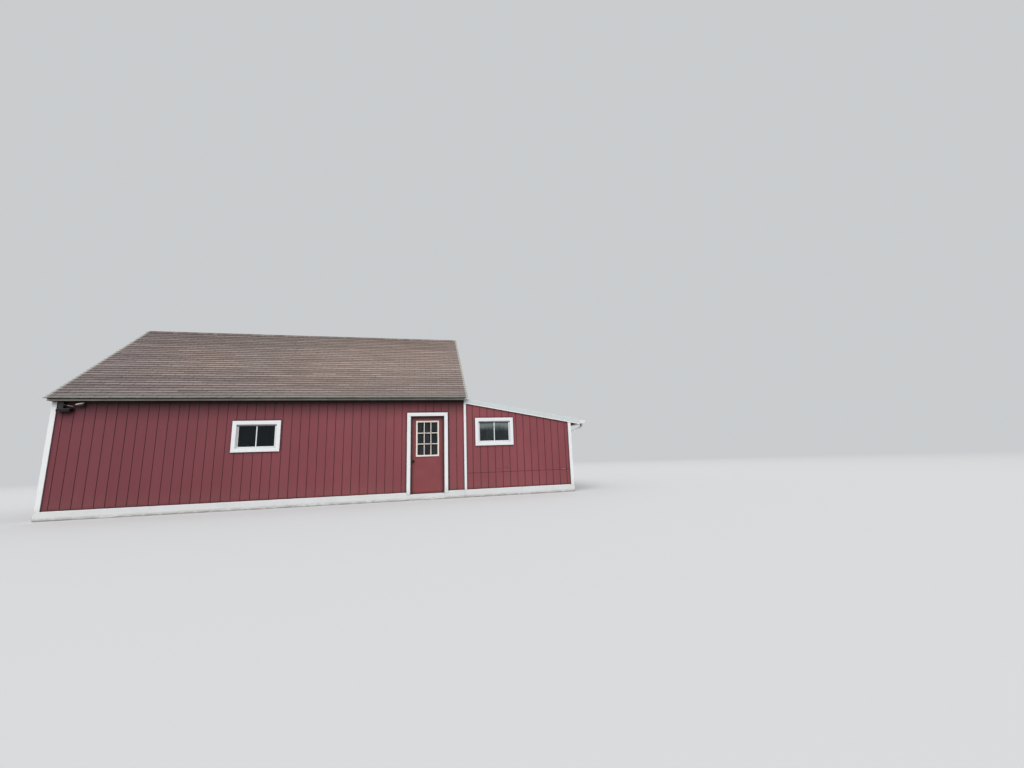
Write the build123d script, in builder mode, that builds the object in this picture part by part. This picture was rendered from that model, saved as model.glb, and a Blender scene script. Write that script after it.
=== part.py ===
from build123d import *
from math import ceil, cos, radians, tan
import os

# Red timber barn with a lean-to on its right-hand gable end.
# X runs along the front wall, Y runs into the depth and Z is up. The origin lies on the ground,
# under the ridge, halfway along the whole footprint.

# Footprint, to the faces of the siding
main_length = 9144
leanto_length = 3048
building_depth = 6096

# Foundation and floor
curb_height = 200
curb_width = 150
curb_proud = 25
floor_height = 150
sill_height = 150
joint_gap = 0.5

# Timber stock
siding_thickness = 16
stud_thickness = 38
stud_depth = 89
stud_spacing = 610
header_depth = 140
plate_depth = 76
trim_thickness = 19

# Main roof, set by the lower edge of the shingles
roof_pitch = 38.5
eave_edge_height = 2640
eave_overhang = 160
rake_overhang = 105
deck_thickness = 12
deck_rake_overhang = 85
shingle_thickness = 8
rafter_depth = 140
rafter_thickness = 38
rafter_spacing = 610
ridge_board_depth = 184
deck_ridge_gap = 10
collar_tie_height = 3900
collar_tie_depth = 89
fascia_height = 62
shingle_drip = 25
soffit_thickness = 12
rake_board_thickness = 38
rake_board_depth = 48
cap_width = 150
cap_thickness = 6

# Lean-to roof: its roofing meets the barn's gable just below the barn's eave
leanto_slope = 0.1855
leanto_roof_drop = 2
leanto_roofing_thickness = 8
leanto_rafter_depth = 89
leanto_ledger_depth = 140
leanto_eave_overhang = 305
leanto_rake_depth = 140
leanto_rake_thickness = 25
leanto_roofing_drip = 12
leanto_fascia_height = 100

# Gutter and downspout
gutter_width = 172
gutter_height = 97
gutter_base = 136
gutter_heel_height = 18
gutter_lip_height = 15
gutter_wall = 2.5
gutter_drop = 3
outlet_margin = 6
spout_width = 75
spout_thickness = 50
spout_wall = 2.5
spout_from_gutter_end = 175
spout_bend_radius = 55
spout_drop_height = 90
spout_offset_height = 165
spout_foot_clearance = 40
spout_kick_width = 60

# Front door, set by its distance to the lean-to and by its head's drop below the eave
door_party_width = 529
door_width = 875
door_head_drop = 482
jamb_thickness = 19
leaf_thickness = 44
leaf_hinge_gap = 5
leaf_latch_gap = 7
leaf_top_gap = 5
leaf_bottom_gap = 8
stop_thickness = 12
stop_width = 35
stop_gap = 5
door_casing_width = 90
door_casing_thickness = 32
casing_lap = 50
lite_width = 600
lite_height = 940
lite_head_drop = 96
lite_flange = 20
lite_face = 40
lite_proud = 12
glass_thickness = 6
knob_height = 985
knob_inset = 48
knob_radius = 24
knob_reach = 62
knob_flare = 14
knob_bevel = 8
knob_neck_length = 22
rose_radius = 32
rose_thickness = 7
neck_radius = 12
hinge_height = 100
hinge_end_inset = 180
hinge_plate_thickness = 2
hinge_plate_width = 38
hinge_radius = 6.5
hinge_pin_radius = 3
hinge_pin_gap = 0.4
hinge_knuckle_gap = 0.5
hinge_face_gap = 0.5

# Inner doorway from the barn to the lean-to
inner_door_width = 865

# Sliding windows, all alike, measured outside their casings from each front's left-hand end
window_width = 1058
window_height = 752
window_head_drop = 549
main_window_left = 3580
leanto_window_left = 303
window_casing_width = 90
window_casing_thickness = 22
window_frame_face = 16
window_frame_depth = 70
window_frame_proud = 5
sash_face = 23
sash_depth = 24
sash_setback = 10
meeting_overlap = 24
window_glass_thickness = 4

# Corner and junction boards
corner_board_width = 80
leanto_corner_board_width = 70
corner_board_return = 70
junction_board_width = 64
junction_board_lap = 6

# Lamp under the eave at the left-hand corner
lamp_left = 138
lamp_box_width = 95
lamp_box_height = 150
lamp_box_depth = 70
lamp_head_width = 245
lamp_head_height = 65
lamp_head_depth = 45
lamp_tilt_drop = 20

# Derived places
total_length = main_length + leanto_length
x_left = -total_length / 2
x_party = x_left + main_length
x_right = x_left + total_length
half_depth = building_depth / 2
frame_face = half_depth - siding_thickness
room_face = frame_face - stud_depth
curb_face = half_depth + curb_proud
curb_inner = curb_face - curb_width
pitch_rise = tan(radians(roof_pitch))
pitch_run = cos(radians(roof_pitch))
roof_build = (deck_thickness + shingle_thickness) / pitch_run
eave_edge = half_depth + eave_overhang
fascia_face = eave_edge - shingle_drip
fascia_inner = fascia_face - trim_thickness


def deck_underside(y):
    """Height of the underside of the main roof deck at a distance y from the ridge."""
    return eave_edge_height + pitch_rise * (eave_edge - y) - roof_build


def rafter_underside(y):
    """Height of the uncut underside of a main rafter at a distance y from the ridge."""
    return deck_underside(y) - rafter_depth / pitch_run


leanto_roof_height = eave_edge_height - leanto_roof_drop


def leanto_top(x, depth=0):
    """Height of the lean-to roofing at x, or of a line a square depth below it."""
    square = (1 + leanto_slope**2) ** 0.5
    return leanto_roof_height - leanto_slope * (x - x_party) - depth * square


plate_top = rafter_underside(room_face)
fascia_bottom = deck_underside(fascia_face) - fascia_height
soffit_top = fascia_bottom + soffit_thickness
shingle_ridge_height = eave_edge_height + pitch_rise * eave_edge
leanto_deck_depth = leanto_roofing_thickness + deck_thickness
leanto_rafter_base = leanto_deck_depth + leanto_rafter_depth
leanto_plate_top = leanto_top(x_right - siding_thickness - stud_depth, leanto_rafter_base)
leanto_fascia_face = x_right + leanto_eave_overhang
leanto_rake_face = half_depth + leanto_rake_thickness
door_head_height = eave_edge_height - door_head_drop
inner_door_height = door_head_height
window_sill_height = eave_edge_height - window_head_drop - window_height
window_opening_width = window_width - 2 * window_casing_width
window_opening_height = window_height - 2 * window_casing_width
window_opening_bottom = window_sill_height + window_casing_width
window_opening_top = window_opening_bottom + window_opening_height

pieces = []


def keep(piece, name):
    """Label a finished sub-part and list it for export."""
    piece.part.label = name
    pieces.append(piece)


def block(low, high, mode=Mode.ADD):
    """Add or cut a box between two opposite corners."""
    centre = [(a + b) / 2 for a, b in zip(low, high)]
    size = [b - a for a, b in zip(low, high)]
    with Locations(tuple(centre)):
        Box(*size, mode=mode)


def front_prism(outline, y_from, y_to, mode=Mode.ADD):
    """Extrude an outline given in front view, as (x, z) points, between two depths."""
    with BuildSketch(Plane.XZ.offset(-y_from)) as profile:
        with BuildLine():
            Polyline(*outline, close=True)
        make_face()
    extrude(profile.sketch, amount=y_from - y_to, mode=mode)


def side_prism(outline, x_from, x_to, mode=Mode.ADD):
    """Extrude an outline given in side view, as (y, z) points, between two lengths."""
    with BuildSketch(Plane.YZ.offset(x_from)) as profile:
        with BuildLine():
            Polyline(*outline, close=True)
        make_face()
    extrude(profile.sketch, amount=x_to - x_from, mode=mode)


def bar(low, high, mode=Mode.ADD):
    """Add or cut a rectangle between two opposite corners of the open sketch."""
    with Locations(((low[0] + high[0]) / 2, (low[1] + high[1]) / 2)):
        Rectangle(high[0] - low[0], high[1] - low[1], mode=mode)


def evenly(start, end, spacing):
    """Evenly spaced centres from start to end, no further apart than spacing."""
    bays = ceil((end - start) / spacing)
    return [start + (end - start) * index / bays for index in range(bays + 1)]


def stud_wall(start, end, base, top, windows=(), doors=()):
    """Sketch a sole plate and studs up to a level top, framed round windows and doorways.

    A window is the centre of its opening; a doorway is its two edges and its head height.
    """
    half_window = window_opening_width / 2
    holes = [
        (centre - half_window, centre + half_window, window_opening_bottom, window_opening_top)
        for centre in windows
    ]
    holes += [(left, right, base, head) for left, right, head in doors]
    bar((start, base), (end, base + stud_thickness))
    for centre in evenly(start + stud_thickness / 2, end - stud_thickness / 2, stud_spacing):
        bar((centre - stud_thickness / 2, base), (centre + stud_thickness / 2, top))
    for left, right, low, head in holes:
        frame_left = left - 2 * stud_thickness
        frame_right = right + 2 * stud_thickness
        bar((frame_left, base), (frame_right, base + stud_thickness))
        bar((frame_left, base), (left, top))
        bar((right, base), (frame_right, top))
    for left, right, low, head in holes:
        header_top = head + header_depth
        bar((left - stud_thickness, head), (right + stud_thickness, header_top), Mode.SUBTRACT)
        bar((left, low), (right, head), Mode.SUBTRACT)
        if low > base:
            bar((left - stud_thickness, head), (right + stud_thickness, header_top))
            bar((left, low - stud_thickness), (right, low))


def window_holes(centres, y_from, y_to):
    """Cut window openings through a wall sheet that lies between two depths."""
    for centre in centres:
        half_width = window_opening_width / 2
        block(
            (centre - half_width, y_from, window_opening_bottom),
            (centre + half_width, y_to, window_opening_top),
            Mode.SUBTRACT,
        )


main_window = x_left + main_window_left + window_width / 2
leanto_window = x_party + leanto_window_left + window_width / 2
door_opening = (x_party - door_party_width - door_width, x_party - door_party_width)
inner_opening = (-inner_door_width / 2, inner_door_width / 2)

# Concrete foundation curbs, with the cold joint where the lean-to was added
with BuildPart() as main_foundation:
    block((x_left - curb_proud, -curb_face, 0), (door_opening[0], -curb_inner, curb_height))
    block((door_opening[1], -curb_face, 0), (x_party, -curb_inner, curb_height))
    block((x_left - curb_proud, curb_inner, 0), (x_party, curb_face, curb_height))
    for end in (x_left - curb_proud, x_party + curb_proud - curb_width):
        block(
            (end, -curb_inner + joint_gap, 0),
            (end + curb_width, curb_inner - joint_gap, curb_height),
        )
keep(main_foundation, "main_foundation")

with BuildPart() as leanto_foundation:
    for side in (-1, 1):
        low, high = sorted((side * curb_face, side * curb_inner))
        block((x_party + joint_gap, low, 0), (x_right + curb_proud, high, curb_height))
    block(
        (x_right + curb_proud - curb_width, -curb_inner + joint_gap, 0),
        (x_right + curb_proud, curb_inner - joint_gap, curb_height),
    )
keep(leanto_foundation, "leanto_foundation")

with BuildPart() as floor_slabs:
    block(
        (x_left - curb_proud + curb_width, -curb_inner, 0),
        (x_party + curb_proud - curb_width, curb_inner, floor_height),
    )
    block(
        (x_party + curb_proud, -curb_inner, 0),
        (x_right + curb_proud - curb_width, curb_inner, floor_height),
    )
keep(floor_slabs, "floor_slabs")

with BuildPart() as door_sill:
    block((door_opening[0], -curb_face, 0), (door_opening[1], -curb_inner, sill_height))
keep(door_sill, "door_sill")

# Stud frames of the barn
stud_top = plate_top - plate_depth
frame_left = x_left + siding_thickness
frame_right = x_party - siding_thickness
front_door = (*door_opening, door_head_height)
inner_door = (*inner_opening, inner_door_height)

with BuildPart() as front_wall_studs:
    with BuildSketch(Plane.XZ.offset(frame_face)) as front_wall_sketch:
        stud_wall(frame_left, frame_right, curb_height, stud_top, [main_window], [front_door])
    extrude(amount=-stud_depth)
keep(front_wall_studs, "front_wall_studs")

with BuildPart() as back_wall_studs:
    with BuildSketch(Plane.XZ.offset(-room_face)) as back_wall_sketch:
        stud_wall(frame_left, frame_right, curb_height, stud_top, [main_window])
    extrude(amount=-stud_depth)
keep(back_wall_studs, "back_wall_studs")

with BuildPart() as left_gable_studs:
    with BuildSketch(Plane.YZ.offset(frame_left)) as left_gable_sketch:
        stud_wall(-room_face, room_face, curb_height, stud_top)
    extrude(amount=stud_depth)
keep(left_gable_studs, "left_gable_studs")

with BuildPart() as right_gable_studs:
    with BuildSketch(Plane.YZ.offset(frame_right - stud_depth)) as right_gable_sketch:
        stud_wall(-room_face, room_face, curb_height, stud_top, doors=[inner_door])
    extrude(amount=stud_depth)
keep(right_gable_studs, "right_gable_studs")

with BuildPart() as door_headers:
    block(
        (door_opening[0] - stud_thickness, -frame_face, door_head_height),
        (door_opening[1] + stud_thickness, -room_face, door_head_height + header_depth),
    )
    block(
        (frame_right - stud_depth, inner_opening[0] - stud_thickness, inner_door_height),
        (frame_right, inner_opening[1] + stud_thickness, inner_door_height + header_depth),
    )
keep(door_headers, "door_headers")

with BuildPart() as top_plates:
    for side in (-1, 1):
        low, high = sorted((side * frame_face, side * room_face))
        block((frame_left, low, stud_top), (frame_right, high, plate_top))
    for start in (frame_left, frame_right - stud_depth):
        block(
            (start, -room_face + joint_gap, stud_top),
            (start + stud_depth, room_face - joint_gap, plate_top),
        )
keep(top_plates, "top_plates")

ridge_board_bottom = deck_underside(rafter_thickness / 2) - ridge_board_depth
gable_stud_ends = room_face - stud_thickness / 2
with BuildPart() as gable_end_studs:
    for start in (frame_left, frame_right - stud_depth):
        for centre in evenly(-gable_stud_ends, gable_stud_ends, stud_spacing):
            inner = abs(centre) - stud_thickness / 2
            outer = abs(centre) + stud_thickness / 2
            if rafter_underside(outer) < plate_top + stud_thickness:
                continue
            tops = [min(rafter_underside(y), ridge_board_bottom) for y in (inner, outer)]
            if centre < 0:
                tops.reverse()
            left = centre - stud_thickness / 2
            right = centre + stud_thickness / 2
            outline = [(left, plate_top), (right, plate_top), (right, tops[1]), (left, tops[0])]
            side_prism(outline, start, start + stud_depth)
keep(gable_end_studs, "gable_end_studs")

# Stud frames of the lean-to
leanto_frame_right = x_right - siding_thickness
leanto_outline = [
    (x_party, curb_height),
    (leanto_frame_right, curb_height),
    (leanto_frame_right, leanto_top(leanto_frame_right, leanto_rafter_base)),
    (x_party, leanto_top(x_party, leanto_rafter_base)),
]
with BuildPart() as leanto_wall_frames:
    for face in (frame_face, -room_face):
        with BuildSketch(Plane.XZ.offset(face)) as leanto_wall_sketch:
            stud_wall(x_party, leanto_frame_right, curb_height, plate_top, [leanto_window])
            with BuildLine():
                Polyline(*leanto_outline, close=True)
            make_face(mode=Mode.INTERSECT)
            with BuildLine():
                Polyline(
                    leanto_outline[3],
                    leanto_outline[2],
                    (leanto_frame_right, leanto_outline[2][1] - stud_thickness),
                    (x_party, leanto_outline[3][1] - stud_thickness),
                    close=True,
                )
            make_face()
        extrude(amount=-stud_depth)
keep(leanto_wall_frames, "leanto_wall_frames")

with BuildPart() as leanto_side_frame:
    with BuildSketch(Plane.YZ.offset(leanto_frame_right - stud_depth)) as leanto_side_sketch:
        stud_wall(-room_face, room_face, curb_height, leanto_plate_top - stud_thickness)
        bar((-room_face, leanto_plate_top - stud_thickness), (room_face, leanto_plate_top))
    extrude(amount=stud_depth)
keep(leanto_side_frame, "leanto_side_frame")

# Siding sheets
with BuildPart() as siding_front_left:
    block((x_left, -half_depth, curb_height), (door_opening[0], -frame_face, fascia_bottom))
    window_holes([main_window], -half_depth, -frame_face)
keep(siding_front_left, "siding_front_left")

with BuildPart() as siding_front_right:
    block((door_opening[1], -half_depth, curb_height), (x_party, -frame_face, fascia_bottom))
keep(siding_front_right, "siding_front_right")

with BuildPart() as siding_over_door:
    block(
        (door_opening[0], -half_depth, door_head_height),
        (door_opening[1], -frame_face, fascia_bottom),
    )
keep(siding_over_door, "siding_over_door")

with BuildPart() as siding_back:
    block((x_left, frame_face, curb_height), (x_party, half_depth, fascia_bottom))
    window_holes([main_window], frame_face, half_depth)
keep(siding_back, "siding_back")


def gable_outline(bottom):
    """Side view of a gable wall from a level base up to the roof deck."""
    return [
        (-frame_face, bottom),
        (frame_face, bottom),
        (frame_face, deck_underside(frame_face)),
        (0, deck_underside(0)),
        (-frame_face, deck_underside(frame_face)),
    ]


with BuildPart() as siding_left_gable:
    side_prism(gable_outline(curb_height), x_left, frame_left)
keep(siding_left_gable, "siding_left_gable")

with BuildPart() as siding_right_gable_upper:
    side_prism(gable_outline(inner_door_height), frame_right, x_party)
keep(siding_right_gable_upper, "siding_right_gable_upper")

with BuildPart() as siding_right_gable_lower:
    for low, high in ((-frame_face, inner_opening[0]), (inner_opening[1], frame_face)):
        block((frame_right, low, curb_height), (x_party, high, inner_door_height))
keep(siding_right_gable_lower, "siding_right_gable_lower")

leanto_siding_outline = [
    (x_party, curb_height),
    (x_right, curb_height),
    (x_right, leanto_top(x_right, leanto_deck_depth)),
    (x_party, leanto_top(x_party, leanto_deck_depth)),
]
with BuildPart() as siding_leanto_front:
    front_prism(leanto_siding_outline, -half_depth, -frame_face)
    window_holes([leanto_window], -half_depth, -frame_face)
keep(siding_leanto_front, "siding_leanto_front")

with BuildPart() as siding_leanto_back:
    front_prism(leanto_siding_outline, frame_face, half_depth)
    window_holes([leanto_window], frame_face, half_depth)
keep(siding_leanto_back, "siding_leanto_back")

with BuildPart() as siding_leanto_side:
    block(
        (leanto_frame_right, -frame_face, curb_height),
        (x_right, frame_face, leanto_top(x_right, leanto_rafter_base)),
    )
keep(siding_leanto_side, "siding_leanto_side")

# Main roof framing: every rafter is notched over the wall plate
rafter_foot = [
    (room_face, plate_top),
    (frame_face, plate_top),
    (frame_face, soffit_top),
    (fascia_inner, soffit_top),
    (fascia_inner, deck_underside(fascia_inner)),
]
rafter_head = rafter_thickness / 2
rafter_outline = [
    (rafter_head, deck_underside(rafter_head)),
    (rafter_head, rafter_underside(rafter_head)),
    *rafter_foot,
]
rafter_centres = evenly(
    frame_left + rafter_thickness / 2, frame_right - rafter_thickness / 2, rafter_spacing
)
with BuildPart() as rafters_back:
    for centre in rafter_centres:
        side_prism(rafter_outline, centre - rafter_thickness / 2, centre + rafter_thickness / 2)
keep(rafters_back, "rafters_back")

with BuildPart() as rafters_front:
    mirror(rafters_back.part, about=Plane.XZ)
keep(rafters_front, "rafters_front")

with BuildPart() as ridge_board:
    block(
        (frame_left, -rafter_head, ridge_board_bottom),
        (frame_right, rafter_head, ridge_board_bottom + ridge_board_depth),
    )
keep(ridge_board, "ridge_board")

collar_tie_top = collar_tie_height + collar_tie_depth
tie_reach = [
    eave_edge - (height + roof_build + joint_gap - eave_edge_height) / pitch_rise
    for height in (collar_tie_height, collar_tie_top)
]
with BuildPart() as collar_ties:
    for centre in rafter_centres[1:-1:2]:
        start = centre + rafter_thickness / 2
        outline = [
            (-tie_reach[0], collar_tie_height),
            (tie_reach[0], collar_tie_height),
            (tie_reach[1], collar_tie_top),
            (-tie_reach[1], collar_tie_top),
        ]
        side_prism(outline, start, start + stud_thickness)
keep(collar_ties, "collar_ties")


def roof_layer(ridge_y, eave_y, lift, thickness):
    """Side view of a layer on the back slope, a plumb lift above the deck's underside."""
    plumb = thickness / pitch_run
    return [
        (ridge_y, deck_underside(ridge_y) + lift),
        (eave_y, deck_underside(eave_y) + lift),
        (eave_y, deck_underside(eave_y) + lift + plumb),
        (ridge_y, deck_underside(ridge_y) + lift + plumb),
    ]


with BuildPart() as roof_deck:
    side_prism(
        roof_layer(deck_ridge_gap, fascia_face, 0, deck_thickness),
        x_left - deck_rake_overhang,
        x_party + deck_rake_overhang,
    )
    mirror(about=Plane.XZ)
keep(roof_deck, "roof_deck")

with BuildPart() as shingles_back:
    side_prism(
        roof_layer(0, eave_edge, deck_thickness / pitch_run, shingle_thickness),
        x_left - rake_overhang,
        x_party + rake_overhang,
    )
keep(shingles_back, "shingles_back")

with BuildPart() as shingles_front:
    mirror(shingles_back.part, about=Plane.XZ)
keep(shingles_front, "shingles_front")

cap_reach = cap_width * pitch_run
cap_rise = cap_thickness / pitch_run
cap_outline = [
    (0, shingle_ridge_height),
    (cap_reach, shingle_ridge_height - cap_reach * pitch_rise),
    (cap_reach, shingle_ridge_height - cap_reach * pitch_rise + cap_rise),
    (0, shingle_ridge_height + cap_rise),
    (-cap_reach, shingle_ridge_height - cap_reach * pitch_rise + cap_rise),
    (-cap_reach, shingle_ridge_height - cap_reach * pitch_rise),
]
with BuildPart() as ridge_cap:
    side_prism(cap_outline, x_left - rake_overhang, x_party + rake_overhang)
keep(ridge_cap, "ridge_cap")

# Fascias with closed soffits, and boards under the rakes
eave_trim_outline = [
    (fascia_face, fascia_bottom),
    (fascia_face, deck_underside(fascia_face)),
    (fascia_inner, deck_underside(fascia_face)),
    (fascia_inner, soffit_top),
    (frame_face, soffit_top),
    (frame_face, fascia_bottom),
]
with BuildPart() as eave_fascias:
    side_prism(eave_trim_outline, x_left, x_party)
    mirror(about=Plane.XZ)
keep(eave_fascias, "eave_fascias")

rake_plumb = rake_board_depth / pitch_run
rake_outline = [
    (joint_gap, deck_underside(joint_gap)),
    (joint_gap, deck_underside(joint_gap) - rake_plumb),
    (fascia_face, deck_underside(fascia_face) - rake_plumb),
    (fascia_face, deck_underside(fascia_face)),
]
with BuildPart() as rake_boards:
    side_prism(rake_outline, x_left - rake_board_thickness, x_left)
    rake_right = x_party + rake_board_thickness
    side_prism(rake_outline, x_party, rake_right)
    block((x_party, 0, 0), (rake_right, leanto_rake_face, leanto_roof_height), Mode.SUBTRACT)
    mirror(about=Plane.XZ)
keep(rake_boards, "rake_boards")

# Lean-to roof: ledger on the barn's gable, rafters notched over the side wall
ledger_face = x_party + stud_thickness
with BuildPart() as leanto_ledger:
    ledger_bottom = leanto_top(x_party, leanto_deck_depth) - leanto_ledger_depth
    ledger_outline = [
        (x_party, ledger_bottom),
        (ledger_face, ledger_bottom),
        (ledger_face, leanto_top(ledger_face, leanto_deck_depth)),
        (x_party, leanto_top(x_party, leanto_deck_depth)),
    ]
    front_prism(ledger_outline, -room_face, room_face)
keep(leanto_ledger, "leanto_ledger")

leanto_fascia_inner = leanto_fascia_face - trim_thickness
leanto_seat = leanto_frame_right - stud_depth
leanto_rafter_outline = [
    (ledger_face, leanto_top(ledger_face, leanto_deck_depth)),
    (ledger_face, leanto_top(ledger_face, leanto_rafter_base)),
    (leanto_seat, leanto_plate_top),
    (leanto_frame_right, leanto_plate_top),
    (leanto_frame_right, leanto_top(leanto_frame_right, leanto_rafter_base)),
    (leanto_fascia_inner, leanto_top(leanto_fascia_inner, leanto_rafter_base)),
    (leanto_fascia_inner, leanto_top(leanto_fascia_inner, leanto_deck_depth)),
]
leanto_rafter_ends = frame_face - rafter_thickness / 2
with BuildPart() as leanto_rafters:
    for centre in evenly(-leanto_rafter_ends, leanto_rafter_ends, rafter_spacing):
        front_prism(
            leanto_rafter_outline, centre - rafter_thickness / 2, centre + rafter_thickness / 2
        )
keep(leanto_rafters, "leanto_rafters")


def leanto_layer(x_to, depth, thickness):
    """Front view of a layer of the lean-to roof, its top a square depth below the roofing."""
    return [
        (x_party, leanto_top(x_party, depth)),
        (x_party, leanto_top(x_party, depth + thickness)),
        (x_to, leanto_top(x_to, depth + thickness)),
        (x_to, leanto_top(x_to, depth)),
    ]


with BuildPart() as leanto_deck:
    front_prism(
        leanto_layer(leanto_fascia_face, leanto_roofing_thickness, deck_thickness),
        -half_depth,
        half_depth,
    )
keep(leanto_deck, "leanto_deck")

with BuildPart() as leanto_roofing:
    front_prism(
        leanto_layer(leanto_fascia_face + leanto_roofing_drip, 0, leanto_roofing_thickness),
        -half_depth,
        half_depth,
    )
keep(leanto_roofing, "leanto_roofing")

with BuildPart() as leanto_rake_boards:
    leanto_rake_outline = leanto_layer(leanto_fascia_face, 0, leanto_rake_depth)
    front_prism(leanto_rake_outline, half_depth, leanto_rake_face)
    mirror(about=Plane.XZ)
keep(leanto_rake_boards, "leanto_rake_boards")

with BuildPart() as leanto_fascia:
    fascia_top = leanto_top(leanto_fascia_face, leanto_deck_depth)
    block(
        (leanto_fascia_inner, -half_depth, fascia_top - leanto_fascia_height),
        (leanto_fascia_face, half_depth, fascia_top),
    )
keep(leanto_fascia, "leanto_fascia")

# Gutter with an ogee front, closed at both ends, and its outlet
gutter_top = fascia_top - gutter_drop
gutter_bottom = gutter_top - gutter_height
gutter_end = leanto_rake_face
gutter_lip = leanto_fascia_face + gutter_width
ogee_start = (leanto_fascia_face + gutter_base, gutter_bottom + gutter_heel_height)
ogee_end = (gutter_lip, gutter_top - gutter_lip_height)
ogee_middle = tuple((a + b) / 2 for a, b in zip(ogee_start, ogee_end))
outlet_y = -gutter_end + spout_from_gutter_end
outlet_x = leanto_fascia_face + gutter_base - outlet_margin - spout_thickness / 2
with BuildPart() as gutter:
    with BuildSketch(Plane.XZ.offset(-gutter_end)) as gutter_section:
        with BuildLine() as gutter_outside:
            Line((leanto_fascia_face, gutter_top), (leanto_fascia_face, gutter_bottom))
            Line(
                (leanto_fascia_face, gutter_bottom),
                (leanto_fascia_face + gutter_base, gutter_bottom),
            )
            Line((leanto_fascia_face + gutter_base, gutter_bottom), ogee_start)
            TangentArc(ogee_start, ogee_middle, tangent=(0, 1))
            TangentArc(ogee_end, ogee_middle, tangent=(0, -1))
            Line(ogee_end, (gutter_lip, gutter_top))
            Line((gutter_lip, gutter_top), (leanto_fascia_face, gutter_top))
        make_face()
    extrude(amount=2 * gutter_end)
    gutter_mouth = gutter.faces().sort_by(Axis.Z)[-1]
    offset(amount=-gutter_wall, openings=gutter_mouth)
    block(
        (outlet_x - spout_thickness / 2, outlet_y - spout_width / 2, gutter_bottom),
        (outlet_x + spout_thickness / 2, outlet_y + spout_width / 2, gutter_bottom + gutter_wall),
        Mode.SUBTRACT,
    )
keep(gutter, "gutter")

# Downspout of folded rectangular pipe: under the eave to the side wall, then down to its foot
spout_x = x_right + spout_thickness / 2
spout_foot = curb_height + spout_foot_clearance
spout_route = [
    (outlet_x, gutter_bottom),
    (outlet_x, gutter_bottom - spout_drop_height),
    (spout_x, gutter_bottom - spout_drop_height - spout_offset_height),
    (spout_x, spout_foot + spout_kick_width),
    (spout_x + spout_kick_width, spout_foot),
]
with BuildPart() as downspout:
    with BuildLine(Plane.XZ.offset(-outlet_y)) as spout_path:
        FilletPolyline(*spout_route, radius=spout_bend_radius)
    with BuildSketch(Plane(origin=spout_path.line @ 0, z_dir=spout_path.line % 0)) as spout_section:
        Rectangle(spout_thickness, spout_width)
        Rectangle(spout_thickness - 2 * spout_wall, spout_width - 2 * spout_wall, mode=Mode.SUBTRACT)
    sweep(path=spout_path.line)
keep(downspout, "downspout")

# White boards at the outer corners and where the lean-to meets the barn
with BuildPart() as corner_boards:
    board_face = half_depth + trim_thickness
    block(
        (x_left - trim_thickness, half_depth, curb_height),
        (x_left + corner_board_width, board_face, fascia_bottom),
    )
    block(
        (x_left - trim_thickness, half_depth - corner_board_return, curb_height),
        (x_left, board_face, fascia_bottom),
    )
    right_edge = x_right + trim_thickness
    board_left = x_right - leanto_corner_board_width
    front_prism(
        [
            (board_left, curb_height),
            (right_edge, curb_height),
            (right_edge, leanto_top(right_edge, leanto_rake_depth)),
            (board_left, leanto_top(board_left, leanto_rake_depth)),
        ],
        half_depth,
        board_face,
    )
    block(
        (x_right, half_depth - corner_board_return, curb_height),
        (right_edge, board_face, leanto_top(right_edge, leanto_rake_depth)),
    )
    mirror(about=Plane.XZ)
keep(corner_boards, "corner_boards")

with BuildPart() as junction_boards:
    junction_left = x_party - junction_board_lap
    junction_right = junction_left + junction_board_width
    front_prism(
        [
            (junction_left, curb_height),
            (junction_right, curb_height),
            (junction_right, leanto_top(junction_right, leanto_rake_depth)),
            (junction_left, leanto_top(junction_left, leanto_rake_depth)),
        ],
        half_depth,
        board_face,
    )
    mirror(about=Plane.XZ)
keep(junction_boards, "junction_boards")

# Sliding windows, the front pair and the same pair in the back wall
window_x = [main_window, leanto_window]
window_z = window_opening_bottom + window_opening_height / 2
with BuildPart() as window_casings:
    with BuildSketch(Plane.XZ.offset(-half_depth)) as casing_sketch:
        for centre in window_x:
            with Locations((centre, window_z)):
                Rectangle(window_width, window_height)
                Rectangle(window_opening_width, window_opening_height, mode=Mode.SUBTRACT)
    extrude(amount=-window_casing_thickness)
    mirror(about=Plane.XZ)
keep(window_casings, "window_casings")

frame_inner_width = window_opening_width - 2 * window_frame_face
frame_inner_height = window_opening_height - 2 * window_frame_face
sash_width = (frame_inner_width + meeting_overlap) / 2
sash_offset = (frame_inner_width - sash_width) / 2
sliding_sash_face = half_depth + window_frame_proud - sash_setback
fixed_sash_face = sliding_sash_face - sash_depth


def sash_ring(centre):
    """Sketch a sash round its glass."""
    with Locations((centre, window_z)):
        Rectangle(sash_width, frame_inner_height)
        Rectangle(sash_width - 2 * sash_face, frame_inner_height - 2 * sash_face, mode=Mode.SUBTRACT)


with BuildPart() as window_frames:
    frame_front = half_depth + window_frame_proud
    with BuildSketch(Plane.XZ.offset(-frame_front)) as window_frame_sketch:
        for centre in window_x:
            with Locations((centre, window_z)):
                Rectangle(window_opening_width, window_opening_height)
                Rectangle(frame_inner_width, frame_inner_height, mode=Mode.SUBTRACT)
    extrude(amount=window_frame_depth)
    with BuildSketch(Plane.XZ.offset(-sliding_sash_face)) as sliding_sashes:
        for centre in window_x:
            sash_ring(centre + sash_offset)
    extrude(amount=sash_depth)
    with BuildSketch(Plane.XZ.offset(-fixed_sash_face)) as fixed_sashes:
        for centre in window_x:
            sash_ring(centre - sash_offset)
    extrude(amount=sash_depth)
    mirror(about=Plane.XZ)
keep(window_frames, "window_frames")

pane_width = sash_width - 2 * sash_face
pane_height = frame_inner_height - 2 * sash_face
with BuildPart() as window_glass:
    for centre in window_x:
        for shift, face in ((sash_offset, sliding_sash_face), (-sash_offset, fixed_sash_face)):
            pane_middle = face - sash_depth / 2
            with Locations((centre + shift, pane_middle, window_z)):
                Box(pane_width, window_glass_thickness, pane_height)
    mirror(about=Plane.XZ)
keep(window_glass, "window_glass")

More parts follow.
